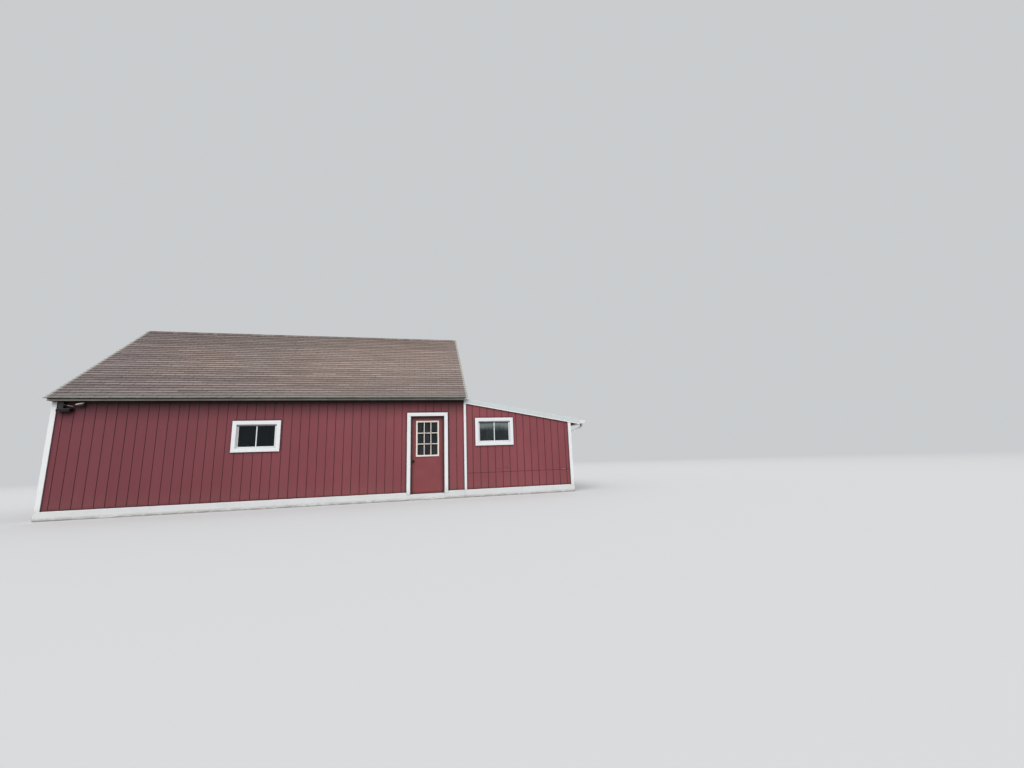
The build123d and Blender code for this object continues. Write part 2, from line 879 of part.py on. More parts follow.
# Front door frame: jambs with stops, and the outer casing lapped over the curb
jamb_left = door_opening[0] + jamb_thickness
jamb_right = door_opening[1] - jamb_thickness
jamb_head = door_head_height - jamb_thickness
with BuildPart() as door_jambs:
    block((door_opening[0], -half_depth, sill_height), (jamb_left, -room_face, jamb_head - joint_gap))
    block((jamb_right, -half_depth, sill_height), (door_opening[1], -room_face, jamb_head - joint_gap))
    block((door_opening[0], -half_depth, jamb_head), (door_opening[1], -room_face, door_head_height))
keep(door_jambs, "door_jambs")

leaf_inner_face = -room_face
leaf_outer_face = leaf_inner_face - leaf_thickness
stop_inner = leaf_outer_face - stop_gap
stop_outer = stop_inner - stop_width
with BuildPart() as door_stops:
    stop_head = jamb_head - stop_thickness
    block(
        (jamb_left, stop_outer, sill_height),
        (jamb_left + stop_thickness, stop_inner, stop_head - joint_gap),
    )
    block(
        (jamb_right - stop_thickness, stop_outer, sill_height),
        (jamb_right, stop_inner, stop_head - joint_gap),
    )
    block((jamb_left, stop_outer, stop_head), (jamb_right, stop_inner, jamb_head))
keep(door_stops, "door_stops")

casing_face = -half_depth - door_casing_thickness
casing_bottom = curb_height - casing_lap
with BuildPart() as door_casing:
    for low, high in (
        (door_opening[0] - door_casing_width, door_opening[0]),
        (door_opening[1], door_opening[1] + door_casing_width),
    ):
        block(
            (low, casing_face, casing_bottom),
            (high, -half_depth, door_head_height - joint_gap),
        )
        block((low, -curb_face, casing_bottom), (high, -half_depth, curb_height), Mode.SUBTRACT)
    block(
        (door_opening[0] - door_casing_width, casing_face, door_head_height),
        (
            door_opening[1] + door_casing_width,
            -half_depth,
            door_head_height + door_casing_width,
        ),
    )
keep(door_casing, "door_casing")

# Door leaf with its glazed panel
leaf_left = jamb_left + leaf_latch_gap
leaf_right = jamb_right - leaf_hinge_gap
leaf_bottom = sill_height + leaf_bottom_gap
leaf_top = jamb_head - leaf_top_gap
lite_x = (leaf_left + leaf_right) / 2
lite_z = leaf_top - lite_head_drop - lite_height / 2
lite_hole_width = lite_width - 2 * lite_flange
lite_hole_height = lite_height - 2 * lite_flange
lite_glass_width = lite_width - 2 * lite_face
lite_glass_height = lite_height - 2 * lite_face
leaf_middle = (leaf_inner_face + leaf_outer_face) / 2
with BuildPart() as door_leaf:
    block((leaf_left, leaf_outer_face, leaf_bottom), (leaf_right, leaf_inner_face, leaf_top))
    with Locations((lite_x, leaf_middle, lite_z)):
        Box(lite_hole_width, leaf_thickness, lite_hole_height, mode=Mode.SUBTRACT)
keep(door_leaf, "door_leaf")

with BuildPart() as door_lite_frame:
    with Locations((lite_x, leaf_middle, lite_z)):
        Box(lite_width, leaf_thickness + 2 * lite_proud, lite_height)
    for side in (-1, 1):
        edge_x = lite_x + side * (lite_hole_width / 2 + lite_flange / 2)
        with Locations((edge_x, leaf_middle, lite_z)):
            Box(lite_flange, leaf_thickness, lite_height, mode=Mode.SUBTRACT)
        edge_z = lite_z + side * (lite_hole_height / 2 + lite_flange / 2)
        with Locations((lite_x, leaf_middle, edge_z)):
            Box(lite_width, leaf_thickness, lite_flange, mode=Mode.SUBTRACT)
    with Locations((lite_x, leaf_middle, lite_z)):
        Box(lite_glass_width, 2 * leaf_thickness, lite_glass_height, mode=Mode.SUBTRACT)
keep(door_lite_frame, "door_lite_frame")

with BuildPart() as door_glass:
    with Locations((lite_x, leaf_middle, lite_z)):
        Box(lite_glass_width, glass_thickness, lite_glass_height)
keep(door_glass, "door_glass")

knob_x = leaf_left + knob_inset
knob_plane = Plane(origin=(knob_x, leaf_inner_face, knob_height), x_dir=(1, 0, 0), z_dir=(0, 0, 1))
with BuildPart() as door_knobs:
    with BuildSketch(knob_plane) as knob_profile:
        with BuildLine():
            Polyline(
                (0, knob_reach),
                (0, 0),
                (rose_radius, 0),
                (rose_radius, rose_thickness),
                (neck_radius, rose_thickness),
                (neck_radius, knob_neck_length),
                (knob_radius, knob_neck_length + knob_flare),
                (knob_radius, knob_reach - knob_bevel),
                (knob_radius - knob_bevel, knob_reach),
                close=True,
            )
        make_face()
    revolve(axis=Axis((knob_x, leaf_inner_face, knob_height), (0, 1, 0)))
    mirror(about=Plane.XZ.offset(-leaf_middle))
keep(door_knobs, "door_knobs")

# Butt hinges on the room side: the pin stands in the jamb's knuckles
hinge_x = jamb_right - leaf_hinge_gap / 2
hinge_y = leaf_inner_face + hinge_radius + hinge_face_gap
hinge_levels = [
    leaf_bottom + hinge_end_inset,
    (leaf_bottom + leaf_top) / 2,
    leaf_top - hinge_end_inset,
]
knuckle_height = (hinge_height - 2 * hinge_knuckle_gap) / 3
plate_inner = leaf_inner_face - hinge_face_gap


def knuckle(level, height, radius, mode=Mode.ADD):
    """Add or cut a round piece on the hinge line, centred on a level."""
    with Locations((hinge_x, hinge_y, level)):
        Cylinder(radius, height, mode=mode)


with BuildPart() as hinge_jamb_leaves:
    for level in hinge_levels:
        block(
            (jamb_right - hinge_plate_thickness, plate_inner - hinge_plate_width, level - hinge_height / 2),
            (jamb_right, plate_inner, level + hinge_height / 2),
        )
        for side in (-1, 1):
            middle = level + side * (knuckle_height + hinge_knuckle_gap)
            knuckle(middle, knuckle_height, hinge_radius)
            block(
                (jamb_right - hinge_plate_thickness, plate_inner, middle - knuckle_height / 2),
                (jamb_right, hinge_y, middle + knuckle_height / 2),
            )
        knuckle(level, hinge_height, hinge_pin_radius)
keep(hinge_jamb_leaves, "hinge_jamb_leaves")

with BuildPart() as hinge_door_leaves:
    for level in hinge_levels:
        block(
            (leaf_right, plate_inner - hinge_plate_width, level - hinge_height / 2),
            (leaf_right + hinge_plate_thickness, plate_inner, level + hinge_height / 2),
        )
        knuckle(level, knuckle_height, hinge_radius)
        block(
            (leaf_right, plate_inner, level - knuckle_height / 2),
            (leaf_right + hinge_plate_thickness, hinge_y, level + knuckle_height / 2),
        )
        knuckle(level, knuckle_height, hinge_pin_radius + hinge_pin_gap, Mode.SUBTRACT)
keep(hinge_door_leaves, "hinge_door_leaves")

# Small lamp under the soffit
lamp_x = x_left + lamp_left
with BuildPart() as eave_lamp:
    block(
        (lamp_x, -half_depth - lamp_box_depth, fascia_bottom - lamp_box_height),
        (lamp_x + lamp_box_width, -half_depth, fascia_bottom),
    )
    box_front = -half_depth - lamp_box_depth
    head_front = box_front - lamp_head_depth
    head_top = fascia_bottom - lamp_box_height
    head_bottom = head_top - lamp_head_height
    side_prism(
        [
            (-half_depth, head_top),
            (-half_depth, head_bottom),
            (head_front, head_bottom - lamp_tilt_drop),
            (head_front, head_top - lamp_tilt_drop),
            (box_front, head_top),
        ],
        lamp_x,
        lamp_x + lamp_head_width,
    )
keep(eave_lamp, "eave_lamp")

os.makedirs("parts", exist_ok=True)
for piece in pieces:
    export_step(piece.part, f"parts/{piece.part.label}.step")
print(f"{len(pieces)} sub-parts written")
print(f"hinge line at x {hinge_x:.1f}, y {hinge_y:.1f}; plate top {plate_top:.1f}")
print(f"leanto plate top {leanto_plate_top:.1f}; fascia bottom {fascia_bottom:.1f}")
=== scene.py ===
from math import ceil, cos, floor, pi, radians, sin
from random import Random

import bmesh
import bpy
from mathutils import Matrix, Vector, noise
from mathutils.bvhtree import BVHTree


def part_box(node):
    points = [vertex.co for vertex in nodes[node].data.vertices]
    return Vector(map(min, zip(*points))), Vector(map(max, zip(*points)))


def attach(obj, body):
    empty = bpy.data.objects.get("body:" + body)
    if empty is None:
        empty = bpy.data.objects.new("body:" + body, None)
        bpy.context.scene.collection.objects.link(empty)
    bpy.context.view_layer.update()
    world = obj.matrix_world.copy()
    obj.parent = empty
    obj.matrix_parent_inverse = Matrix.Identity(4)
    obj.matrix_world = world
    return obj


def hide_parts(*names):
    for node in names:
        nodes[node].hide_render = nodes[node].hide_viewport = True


# Looks of the red barn: every length is in metres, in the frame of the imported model.

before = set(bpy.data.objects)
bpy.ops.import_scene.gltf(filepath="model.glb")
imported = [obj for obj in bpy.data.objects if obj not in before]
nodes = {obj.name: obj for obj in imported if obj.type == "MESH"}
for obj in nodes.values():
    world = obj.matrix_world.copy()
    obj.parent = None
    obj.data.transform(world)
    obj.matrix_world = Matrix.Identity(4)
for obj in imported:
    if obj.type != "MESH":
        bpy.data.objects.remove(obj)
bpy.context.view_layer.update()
barn_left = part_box("siding_front_left")[0].x
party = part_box("siding_leanto_front")[0].x
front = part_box("siding_front_left")[0].y
glass_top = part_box("window_glass")[1].z

# Photograph and camera
PHOTO_WIDTH = 1024
SENSOR_WIDTH = 36.0
FOCAL_PIXELS = 407.4
CAMERA_PLACE = Vector((1.7935, -14.1265, 0.9727))
CAMERA_YAW = radians(13.374)
CAMERA_PITCH = radians(10.314)
CAMERA_ROLL = radians(-2.065)

# Grooved siding
GROOVE_PITCH = 0.2032
GROOVE_WIDTH = 0.010
GROOVE_DEPTH = 0.007
GROOVES_PER_SHEET = 6
SHEET_HEIGHT = 2.4384
SEAM_HEIGHT = 0.009
SEAM_DEPTH = 0.006
LEANTO_SEAM = (0.616, 0.612)
LEANTO_SHIFT = 0.028
CUT_MARGIN = 0.02
NAIL_RADIUS = 0.0045
NAIL_SPACING = 0.3048

# Shingles
COURSE = 0.127
TAB_WIDTH = 0.305
TAB_GAP = 0.006
TAB_BUTT = 0.007
TAB_LAP = 0.028
NARROWEST_TAB = 0.02
WORN_RISE = 0.75
WORN_RAKE = 1.2
CAP_EXPOSURE = 0.135
CAP_LAP = 0.035
CAP_THICKNESS = 0.005

# Boards, curb, door and small fittings
EDGE_BAND = 0.026
RAKE_FOOT_HEIGHT = 0.11
VINYL_SHADE = 0.020
CURB_WANDER = 0.006
CURB_DIP = 0.0025
BAR_WIDTH = 0.024
BAR_BEAD = 0.006
BAR_RECESS = 0.003
DRIP_METAL = 0.0015
DRIP_FOLD = 0.030
FLASHING_METAL = 0.0012
HANGERS = 10
STRAP_HEIGHTS = (0.52, 1.42)
STRAP_WIDTH = 0.028
KNOB_BALL = 0.024
KNOB_NECK = 0.0105

# Colours, as the shaders take them
# RED to the brighter red is a painted light gradient across the siding; the brighter red is also the nails'
# own paint
RED = (0.166, 0.036, 0.051)
RED_BRIGHT = (0.270, 0.068, 0.080)
RED_DEEP = (0.130, 0.034, 0.043)
RED_FADED = (0.285, 0.098, 0.104)
RED_DUSTY = (0.150, 0.060, 0.055)
RED_SHADE = (0.014, 0.003, 0.004)
GROOVE_DIRT_AND_SHADE = (0.040, 0.009, 0.011)
DOOR_RED = (0.232, 0.050, 0.058)
DOOR_CHALK = (0.270, 0.082, 0.086)
DOOR_RUBBED = (0.300, 0.066, 0.058)
DOOR_RUST = (0.150, 0.060, 0.038)
JAMB_RED = (0.105, 0.029, 0.033)
WHITE = (0.850, 0.858, 0.875)
WHITE_GRIMY = (0.500, 0.520, 0.510)
WHITEWASH = (0.740, 0.745, 0.755)
WHITEWASH_GREY = (0.520, 0.530, 0.505)
RAKE_GREY = (0.632, 0.676, 0.682)
FOOT_GREY = (0.205, 0.205, 0.185)
BARE_SPECK = (0.300, 0.270, 0.220)
CONCRETE = (0.330, 0.320, 0.300)
CONCRETE_DARK = (0.210, 0.200, 0.185)
CONCRETE_SAND = (0.420, 0.410, 0.390)
CONCRETE_PIT = (0.260, 0.250, 0.225)
SOIL = (0.200, 0.175, 0.135)
SOIL_ON_RED = (0.215, 0.120, 0.085)
SOIL_ON_WHITE = (0.270, 0.235, 0.180)
CREAM = (0.900, 0.770, 0.700)
TIMBER = (0.430, 0.300, 0.175)
TIMBER_DARK = (0.270, 0.170, 0.090)
TIMBER_KNOT = (0.120, 0.060, 0.028)
TIMBER_AGED = (0.240, 0.200, 0.160)
FLAKE_LIGHT = (0.500, 0.385, 0.240)
FLAKE_DARK = (0.300, 0.205, 0.110)
FLAKE_STAIN = (0.220, 0.180, 0.140)
SHINGLE_BROWN = (0.190, 0.140, 0.122)
SHINGLE_PINK = (0.246, 0.170, 0.144)
SHINGLE_GREY = (0.175, 0.160, 0.157)
SHINGLE_LIGHT = (0.370, 0.300, 0.270)
SHINGLE_DARK = (0.072, 0.055, 0.051)
SHINGLE_EDGE = (0.030, 0.026, 0.024)
SHINGLE_WORN = (0.196, 0.178, 0.192)
SHINGLE_PURPLE = (0.078, 0.062, 0.072)
SHINGLE_TAN = (0.400, 0.290, 0.230)
SHINGLE_MOSSY = (0.165, 0.167, 0.150)
GRIT_CLUMP = (0.110, 0.092, 0.084)
GRIT_LIGHT = (0.400, 0.355, 0.330)
GRIT_DARK = (0.060, 0.050, 0.046)
RAKE_METAL = (0.370, 0.375, 0.340)
FASCIA = (0.112, 0.103, 0.090)
FASCIA_CHALK = (0.175, 0.162, 0.142)
FASCIA_STAIN = (0.070, 0.062, 0.052)
FASCIA_GRAIN = (0.080, 0.070, 0.060)
FASCIA_EDGE = (0.240, 0.230, 0.205)
FASCIA_TOP_SHADOW = (0.030, 0.028, 0.027)
BLACK_SHADE = (0.004, 0.003, 0.003)
ROOM_SHADE = (0.005, 0.008, 0.011)
GLASS_GREY = (0.180, 0.215, 0.218)
LAMP_GREY = (0.026, 0.027, 0.026)
LAMP_BROWN = (0.044, 0.038, 0.034)
LAMP_OPEN_SHADE = (0.003, 0.002, 0.002)
BACKGROUND = (0.590, 0.605, 0.620)
FLOOR = (0.530, 0.535, 0.540)

# Light: an overcast dome, brighter overhead, and one wide soft sun
DOME_LIGHT = (0.95, 0.97, 1.0)
HORIZON_LIGHT = 0.42
ZENITH_LIGHT = 0.95
SUN_LIGHT = (1.0, 0.99, 0.97)
SUN_STRENGTH = 2.4
SUN_WIDTH = radians(60)
SUN_TILT = radians(40)
SUN_TURN = radians(-14)
FLOOR_BOUNCE = (0.240, 0.245, 0.240)
FLOOR_REACH = 150
FLOOR_FADE = (16, 60)

# Marks on the lean-to's front: place, half-size, strength and colour
WALL_MARKS = (
    ((4.22, front, 0.735), (0.085, 0.03, 0.055), 0.55, (0.170, 0.045, 0.030)),
    ((4.25, front, 0.750), (0.050, 0.03, 0.022), 0.60, RED_FADED),
    ((3.98, front, 0.700), (0.075, 0.03, 0.040), 0.40, (0.180, 0.050, 0.035)),
    ((5.83, front, 0.640), (0.085, 0.03, 0.009), 0.90, (0.480, 0.215, 0.190)),
    ((5.80, front, 0.665), (0.130, 0.03, 0.012), 0.45, RED_DEEP),
)


class Nodes:
    """A node tree, with short calls for the nodes that a finish needs."""

    def __init__(self, tree):
        self.tree = tree

    def feed(self, socket, value):
        if isinstance(value, bpy.types.NodeSocket):
            self.tree.links.new(value, socket)
        elif isinstance(value, tuple) and len(value) == 3 and len(socket.default_value) == 4:
            socket.default_value = (*value, 1)
        else:
            socket.default_value = value

    def node(self, kind, inputs=None, **settings):
        """A new node's outputs; inputs holds values or links by the names or numbers of its sockets."""
        made = self.tree.nodes.new("ShaderNode" + kind)
        for name, value in settings.items():
            setattr(made, name, value)
        for name, value in (inputs or {}).items():
            self.feed(made.inputs[name], value)
        return made.outputs

    def calc(self, operation, first, second=0.0):
        return self.node("Math", {0: first, 1: second}, operation=operation)[0]

    def plus(self, first, second):
        return self.calc("ADD", first, second)

    def minus(self, first, second):
        return self.calc("SUBTRACT", first, second)

    def times(self, first, second):
        return self.calc("MULTIPLY", first, second)

    def vector(self, operation, first, second=(0, 0, 0)):
        """A sum of vectors; its outputs are Vector and Value."""
        return self.node("VectorMath", {0: first, 1: second}, operation=operation)

    def span(self, value, low, high, start=0.0, end=1.0):
        """Smooth step from start to end while value goes from low to high."""
        inputs = {"Value": value, "From Min": low, "From Max": high, "To Min": start, "To Max": end}
        return self.node("MapRange", inputs, interpolation_type="SMOOTHSTEP")["Result"]

    def mix(self, share, first, second):
        return self.node("Mix", {"Factor": share, 6: first, 7: second}, data_type="RGBA")[2]

    def seen(self):
        """1 for rays that see the background, straight, mirrored or through glass."""
        path = self.node("LightPath")
        larger = self.calc("MAXIMUM", path["Is Camera Ray"], path["Is Glossy Ray"])
        return self.calc("MAXIMUM", larger, path["Is Transmission Ray"])


class Surface(Nodes):
    """A material's shader, with the colour and the bumps that its finish has so far."""

    def __init__(self, name, colour=None, roughness=0.6, metallic=0.0, specular=0.5):
        self.material = bpy.data.materials.new(name)
        self.material.use_nodes = True
        super().__init__(self.material.node_tree)
        self.shader = self.tree.nodes["Principled BSDF"]
        self.shader.inputs["Roughness"].default_value = roughness
        self.shader.inputs["Metallic"].default_value = metallic
        self.shader.inputs["Specular IOR Level"].default_value = specular
        self.place = self.node("TexCoord")["Object"]
        self.colour = colour
        self.normal = None

    def axis(self, name):
        """One coordinate of the surface's place."""
        return self.node("SeparateXYZ", {0: self.place})[name]

    def stretched(self, stretch):
        return self.vector("MULTIPLY", self.place, stretch)["Vector"]

    def grain(self, scale, detail=3.0, rough=0.55, stretch=(1, 1, 1), bend=0.0):
        """Soft noise from 0 to 1; stretch below 1 draws it out along that axis."""
        inputs = {"Vector": self.stretched(stretch), "Scale": scale, "Detail": detail}
        return self.node("TexNoise", inputs | {"Roughness": rough, "Distortion": bend})["Fac"]

    def cells(self, scale, stretch=(1, 1, 1)):
        """Distance from the middles of scattered cells."""
        return self.node("TexVoronoi", {"Vector": self.stretched(stretch), "Scale": scale})["Distance"]

    def mark(self, name):
        """A value written on the mesh."""
        return self.node("Attribute", attribute_name=name)["Fac"]

    def corner_shade(self, reach):
        """1 deep in a corner with another surface within reach, 0 in the open; used to paint shade in
        corners.
        """
        return self.minus(1.0, self.node("AmbientOcclusion", {"Distance": reach}, samples=6)["AO"])

    def spot(self, centre, size):
        """1 at a place, fading to 0 at the edge of an oval about it."""
        off = self.vector("SUBTRACT", self.place, centre)["Vector"]
        share = self.vector("DIVIDE", off, size)["Vector"]
        return self.span(self.vector("LENGTH", share)["Value"], 1.0, 0.4)

    def lay(self, share, tint):
        """Blend a tint over the colour so far."""
        self.colour = self.mix(share, self.colour, tint)

    def wash(self, value, low, high, share, tint):
        """Blend in a tint smoothly while value goes from low to high, up to a share."""
        self.lay(self.span(value, low, high, 0.0, share), tint)

    def bump(self, height, distance):
        inputs = {"Height": height, "Distance": distance, "Strength": 1.0}
        if self.normal is not None:
            inputs["Normal"] = self.normal
        self.normal = self.node("Bump", inputs)["Normal"]

    def finish(self, roughness=None):
        self.feed(self.shader.inputs["Base Color"], self.colour)
        if roughness is not None:
            self.feed(self.shader.inputs["Roughness"], roughness)
        if self.normal is not None:
            self.feed(self.shader.inputs["Normal"], self.normal)
        return self.material


def drawn_out(along, share):
    """A stretch that draws a texture out along one axis, named by its letter."""
    return tuple(share if axis == along else 1 for axis in "XYZ")


def siding_paint():
    """Old satin paint on rough-sawn plywood, with dirty grooves, painted light brighter to the right, and
    painted shade in the grooves, under the eaves and in corners.
    """
    s = Surface("barn_red_siding", specular=0.3)
    fibre = s.grain(210, 4, 0.7, drawn_out("Z", 0.035))
    band = s.grain(38, 3, 0.6, drawn_out("Z", 0.035), 0.4)
    patch = s.grain(0.9, 4, 0.6, drawn_out("Z", 0.6))
    streak = s.grain(9, 5, 0.65, drawn_out("Z", 0.08))
    speck = s.grain(60, 2, 0.5)
    x, y, height = (s.axis(name) for name in "XYZ")
    side = s.mark("side")
    # Painted light: darker at the barn's left end, brighter towards the lean-to
    s.colour = s.mix(s.span(x, barn_left, party), RED, RED_BRIGHT)
    s.wash(patch, 0.32, 0.72, 0.30, RED_DEEP)
    s.lay(s.times(s.mark("tone"), 0.18), RED_FADED)
    s.wash(streak, 0.62, 0.86, 0.35, RED_FADED)
    s.wash(fibre, 0.35, 0.10, 0.45, RED_DEEP)
    s.wash(band, 0.66, 0.84, 0.22, RED_DUSTY)
    splash = s.times(s.span(height, 0.62, 0.20), s.span(speck, 0.40, 0.75))
    s.lay(s.times(splash, 0.45), SOIL_ON_RED)
    for centre, size, share, tint in WALL_MARKS:
        s.lay(s.times(s.spot(centre, size), share), tint)
    on_leanto = s.calc("GREATER_THAN", x, party - 0.001)
    along_front = s.minus(s.minus(x, barn_left), s.times(on_leanto, LEANTO_SHIFT))
    turn = s.times(side, s.minus(s.minus(y, front), along_front))
    from_groove = s.calc("PINGPONG", s.plus(along_front, turn), GROOVE_PITCH / 2)
    dirt = s.times(s.span(from_groove, 0.024, 0.003), s.span(streak, 0.30, 0.60, 0.10, 0.45))
    s.lay(dirt, RED_DEEP)
    # Groove floors and walls darkened for dirt and painted shade
    s.lay(s.times(s.mark("groove"), 0.85), GROOVE_DIRT_AND_SHADE)
    # Painted shade under the main eaves on the front and back walls, deepest at the top
    eave = s.times(s.span(height, 1.88, 2.60), s.span(x, party, party - 0.02))
    eave = s.times(eave, s.minus(1.0, side))
    s.lay(s.times(s.calc("POWER", eave, 2.0), 0.75), RED_SHADE)
    # Painted shade in corners beside trim, boards and the eave
    s.wash(s.corner_shade(0.07), 0.03, 0.30, 0.84, RED_SHADE)
    s.bump(s.plus(fibre, s.times(band, 1.2)), 0.0011)
    return s.finish(s.span(band, 0.2, 0.8, 0.50, 0.72))


def trim_paint(name, along, base=WHITE, grime=WHITE_GRIMY, grey_below=0.0, edge=None):
    """Paint on boards, with faint grain along them, grime and a few worn specks.

    Below the height grey_below it turns grey. An edge is a direction and a distance along it:
    a white band runs there.
    """
    s = Surface(name, base, specular=0.35)
    fibre = s.grain(150, 3, 0.6, drawn_out(along, 0.05))
    blot = s.grain(5, 5, 0.65, drawn_out(along, 0.4))
    speck = s.grain(85, 3, 0.6)
    height = s.axis("Z")
    s.wash(blot, 0.50, 0.85, 0.35, grime)
    s.wash(fibre, 0.38, 0.12, 0.30, grime)
    s.wash(speck, 0.72, 0.80, 0.45, BARE_SPECK)
    low = s.times(s.span(height, 0.36, 0.18), s.span(speck, 0.40, 0.62))
    s.lay(s.times(low, 0.40), SOIL_ON_WHITE)
    if edge:
        direction, foot = edge
        off = s.vector("DOT_PRODUCT", s.place, direction)["Value"]
        s.wash(off, foot + EDGE_BAND, foot + EDGE_BAND - 0.006, 1.0, WHITE)
    if grey_below:
        s.wash(height, grey_below, grey_below - 0.03, 0.9, FOOT_GREY)
    # Painted shade in corners
    s.wash(s.corner_shade(0.04), 0.05, 0.46, 0.62, (0.080, 0.076, 0.074))
    s.bump(fibre, 0.0006)
    return s.finish(s.span(blot, 0.3, 0.8, 0.42, 0.62))


def whitewash():
    """Lime-white paint on rough concrete, scuffed grey and splashed with soil near the ground."""
    s = Surface("whitewashed_concrete", WHITEWASH, roughness=0.85, specular=0.2)
    blot = s.grain(3.2, 6, 0.66)
    pit = s.cells(55)
    scuff = s.grain(15, 5, 0.7, (0.30, 0.30, 1), 0.8)
    s.wash(blot, 0.44, 0.80, 0.36, WHITEWASH_GREY)
    s.wash(scuff, 0.66, 0.78, 0.50, CONCRETE)
    s.wash(pit, 0.14, 0.05, 0.40, CONCRETE_PIT)
    wet = s.times(s.span(s.axis("Z"), 0.10, 0.0), s.span(scuff, 0.34, 0.58))
    s.lay(s.times(wet, 0.60), SOIL)
    # Painted shade in corners
    s.wash(s.corner_shade(0.04), 0.05, 0.50, 0.60, (0.090, 0.085, 0.075))
    s.bump(blot, 0.006)
    s.bump(s.plus(s.grain(260, 3, 0.6), s.span(pit, 0.0, 0.2)), 0.0016)
    return s.finish()


def bare_concrete():
    """Trowelled floor slab, blotched and sandy."""
    s = Surface("floor_concrete", CONCRETE, roughness=0.8, specular=0.3)
    blot = s.grain(1.6, 6, 0.6)
    sand = s.grain(180, 3, 0.6)
    s.wash(blot, 0.35, 0.75, 1.0, CONCRETE_DARK)
    s.wash(sand, 0.55, 0.8, 0.3, CONCRETE_SAND)
    s.bump(s.plus(sand, blot), 0.0012)
    return s.finish()


def timber(name, along):
    """Bare softwood: drawn-out growth bands, fine fibre and a few knots."""
    s = Surface(name, TIMBER_DARK, specular=0.25)
    ring = s.grain(26, 4, 0.55, drawn_out(along, 0.045), 1.1)
    fibre = s.grain(170, 3, 0.65, drawn_out(along, 0.045))
    s.wash(ring, 0.34, 0.66, 1.0, TIMBER)
    s.wash(fibre, 0.6, 0.3, 0.25, TIMBER_DARK)
    s.wash(s.cells(3.4, drawn_out(along, 0.35)), 0.075, 0.035, 0.85, TIMBER_KNOT)
    s.wash(s.grain(0.8, 4, 0.6), 0.45, 0.8, 0.35, TIMBER_AGED)
    s.bump(s.plus(fibre, ring), 0.0008)
    return s.finish(s.span(ring, 0.3, 0.7, 0.62, 0.78))


def sheathing():
    """Flaked boards under the roofing."""
    s = Surface("roof_sheathing", roughness=0.75, specular=0.25)
    flake = s.node("TexVoronoi", {"Vector": s.stretched((1, 2.4, 1)), "Scale": 22})["Color"]
    tone = s.node("SeparateColor", {0: flake})
    s.colour = s.mix(tone[0], FLAKE_DARK, FLAKE_LIGHT)
    s.wash(s.grain(2.5, 4), 0.5, 0.85, 0.4, FLAKE_STAIN)
    s.bump(tone[1], 0.0008)
    return s.finish()


def shingle_grit():
    """Mineral grit on asphalt: tabs differ in tone, darken towards the next butt with dirt and painted shade,
    and have black cut edges.
    """
    s = Surface("brown_shingles", SHINGLE_GREY, specular=0.25)
    grit = s.grain(620, 2, 0.7)
    clump = s.grain(95, 4, 0.7)
    run = s.grain(1.9, 4, 0.65, (0.5, 3.4, 3.4))
    tone = s.mark("tone")
    up = s.mark("up")
    x = s.axis("X")
    height = s.axis("Z")
    low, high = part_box("shingles_front")
    half = (high.x - low.x) / 2
    s.wash(s.grain(0.42, 4, 0.55, (1, 1, 1.3)), 0.36, 0.66, 1.0, SHINGLE_PINK)
    s.lay(0.45, SHINGLE_BROWN)
    s.lay(s.times(s.mark("weathered"), 0.75), SHINGLE_WORN)
    s.lay(s.span(tone, 0.0, 0.5, 0.50, 0.0), SHINGLE_DARK)
    s.wash(tone, 0.5, 1.0, 0.60, SHINGLE_LIGHT)
    s.wash(run, 0.50, 0.76, 0.65, SHINGLE_LIGHT)
    s.wash(run, 0.48, 0.24, 0.65, SHINGLE_DARK)
    # Each course darker towards the next butt, for dirt and painted shade; lighter at its foot
    s.wash(up, 0.46, 0.86, 0.95, SHINGLE_DARK)
    s.wash(up, 0.34, 0.0, 0.78, SHINGLE_LIGHT)
    s.wash(clump, 0.55, 0.80, 0.35, GRIT_CLUMP)
    s.wash(grit, 0.55, 0.80, 0.35, GRIT_LIGHT)
    s.wash(grit, 0.42, 0.20, 0.35, GRIT_DARK)
    s.lay(s.span(x, low.x, low.x + half, 0.22, 0.0), SHINGLE_PURPLE)
    s.wash(x, low.x + 3.0, high.x - 2.5, 0.17, SHINGLE_TAN)
    s.wash(height, 4.1, high.z, 0.36, SHINGLE_DARK)
    s.wash(height, low.z + 1.2, low.z + 0.3, 0.23, SHINGLE_PURPLE)
    lowest = s.span(height, low.z + 0.19, low.z + 0.12)
    above_edge = s.span(height, low.z + 0.006, low.z + 0.012)
    s.lay(s.times(s.times(lowest, above_edge), 0.50), SHINGLE_MOSSY)
    s.lay(s.mark("edge"), SHINGLE_EDGE)
    off_middle = s.calc("ABSOLUTE", s.minus(x, (low.x + high.x) / 2))
    rake = s.times(s.span(off_middle, half - 0.062, half - 0.050), s.span(off_middle, half + 0.004, half))
    s.lay(s.times(rake, 0.75), RAKE_METAL)
    s.bump(s.plus(grit, clump), 0.0014)
    return s.finish(s.span(grit, 0.2, 0.8, 0.78, 0.95))


def weathered_band():
    """Grey-brown paint of the eave boards, chalky and stained, with a painted shadow along the top and
    painted shade on the underside and in corners.
    """
    s = Surface("weathered_fascia", FASCIA, roughness=0.7, specular=0.3)
    fibre = s.grain(150, 3, 0.6, drawn_out("X", 0.05))
    low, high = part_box("eave_fascias")
    height = s.axis("Z")
    s.wash(s.grain(2.2, 5, 0.6), 0.35, 0.75, 1.0, FASCIA_CHALK)
    s.wash(s.grain(14, 5, 0.65, drawn_out("Z", 0.15)), 0.56, 0.80, 0.55, FASCIA_STAIN)
    s.wash(fibre, 0.36, 0.12, 0.35, FASCIA_GRAIN)
    s.wash(height, low.z + 0.024, low.z + 0.010, 0.36, FASCIA_EDGE)
    # Painted shadow of the shingles along the top
    s.wash(height, high.z - 0.022, high.z - 0.010, 0.75, FASCIA_TOP_SHADOW)
    # Painted shade on the underside
    s.wash(height, low.z + 0.0012, low.z + 0.0004, 1.0, BLACK_SHADE)
    # Painted shade in corners
    s.wash(s.corner_shade(0.03), 0.05, 0.50, 0.60, (0.020, 0.018, 0.016))
    s.bump(fibre, 0.0007)
    return s.finish()


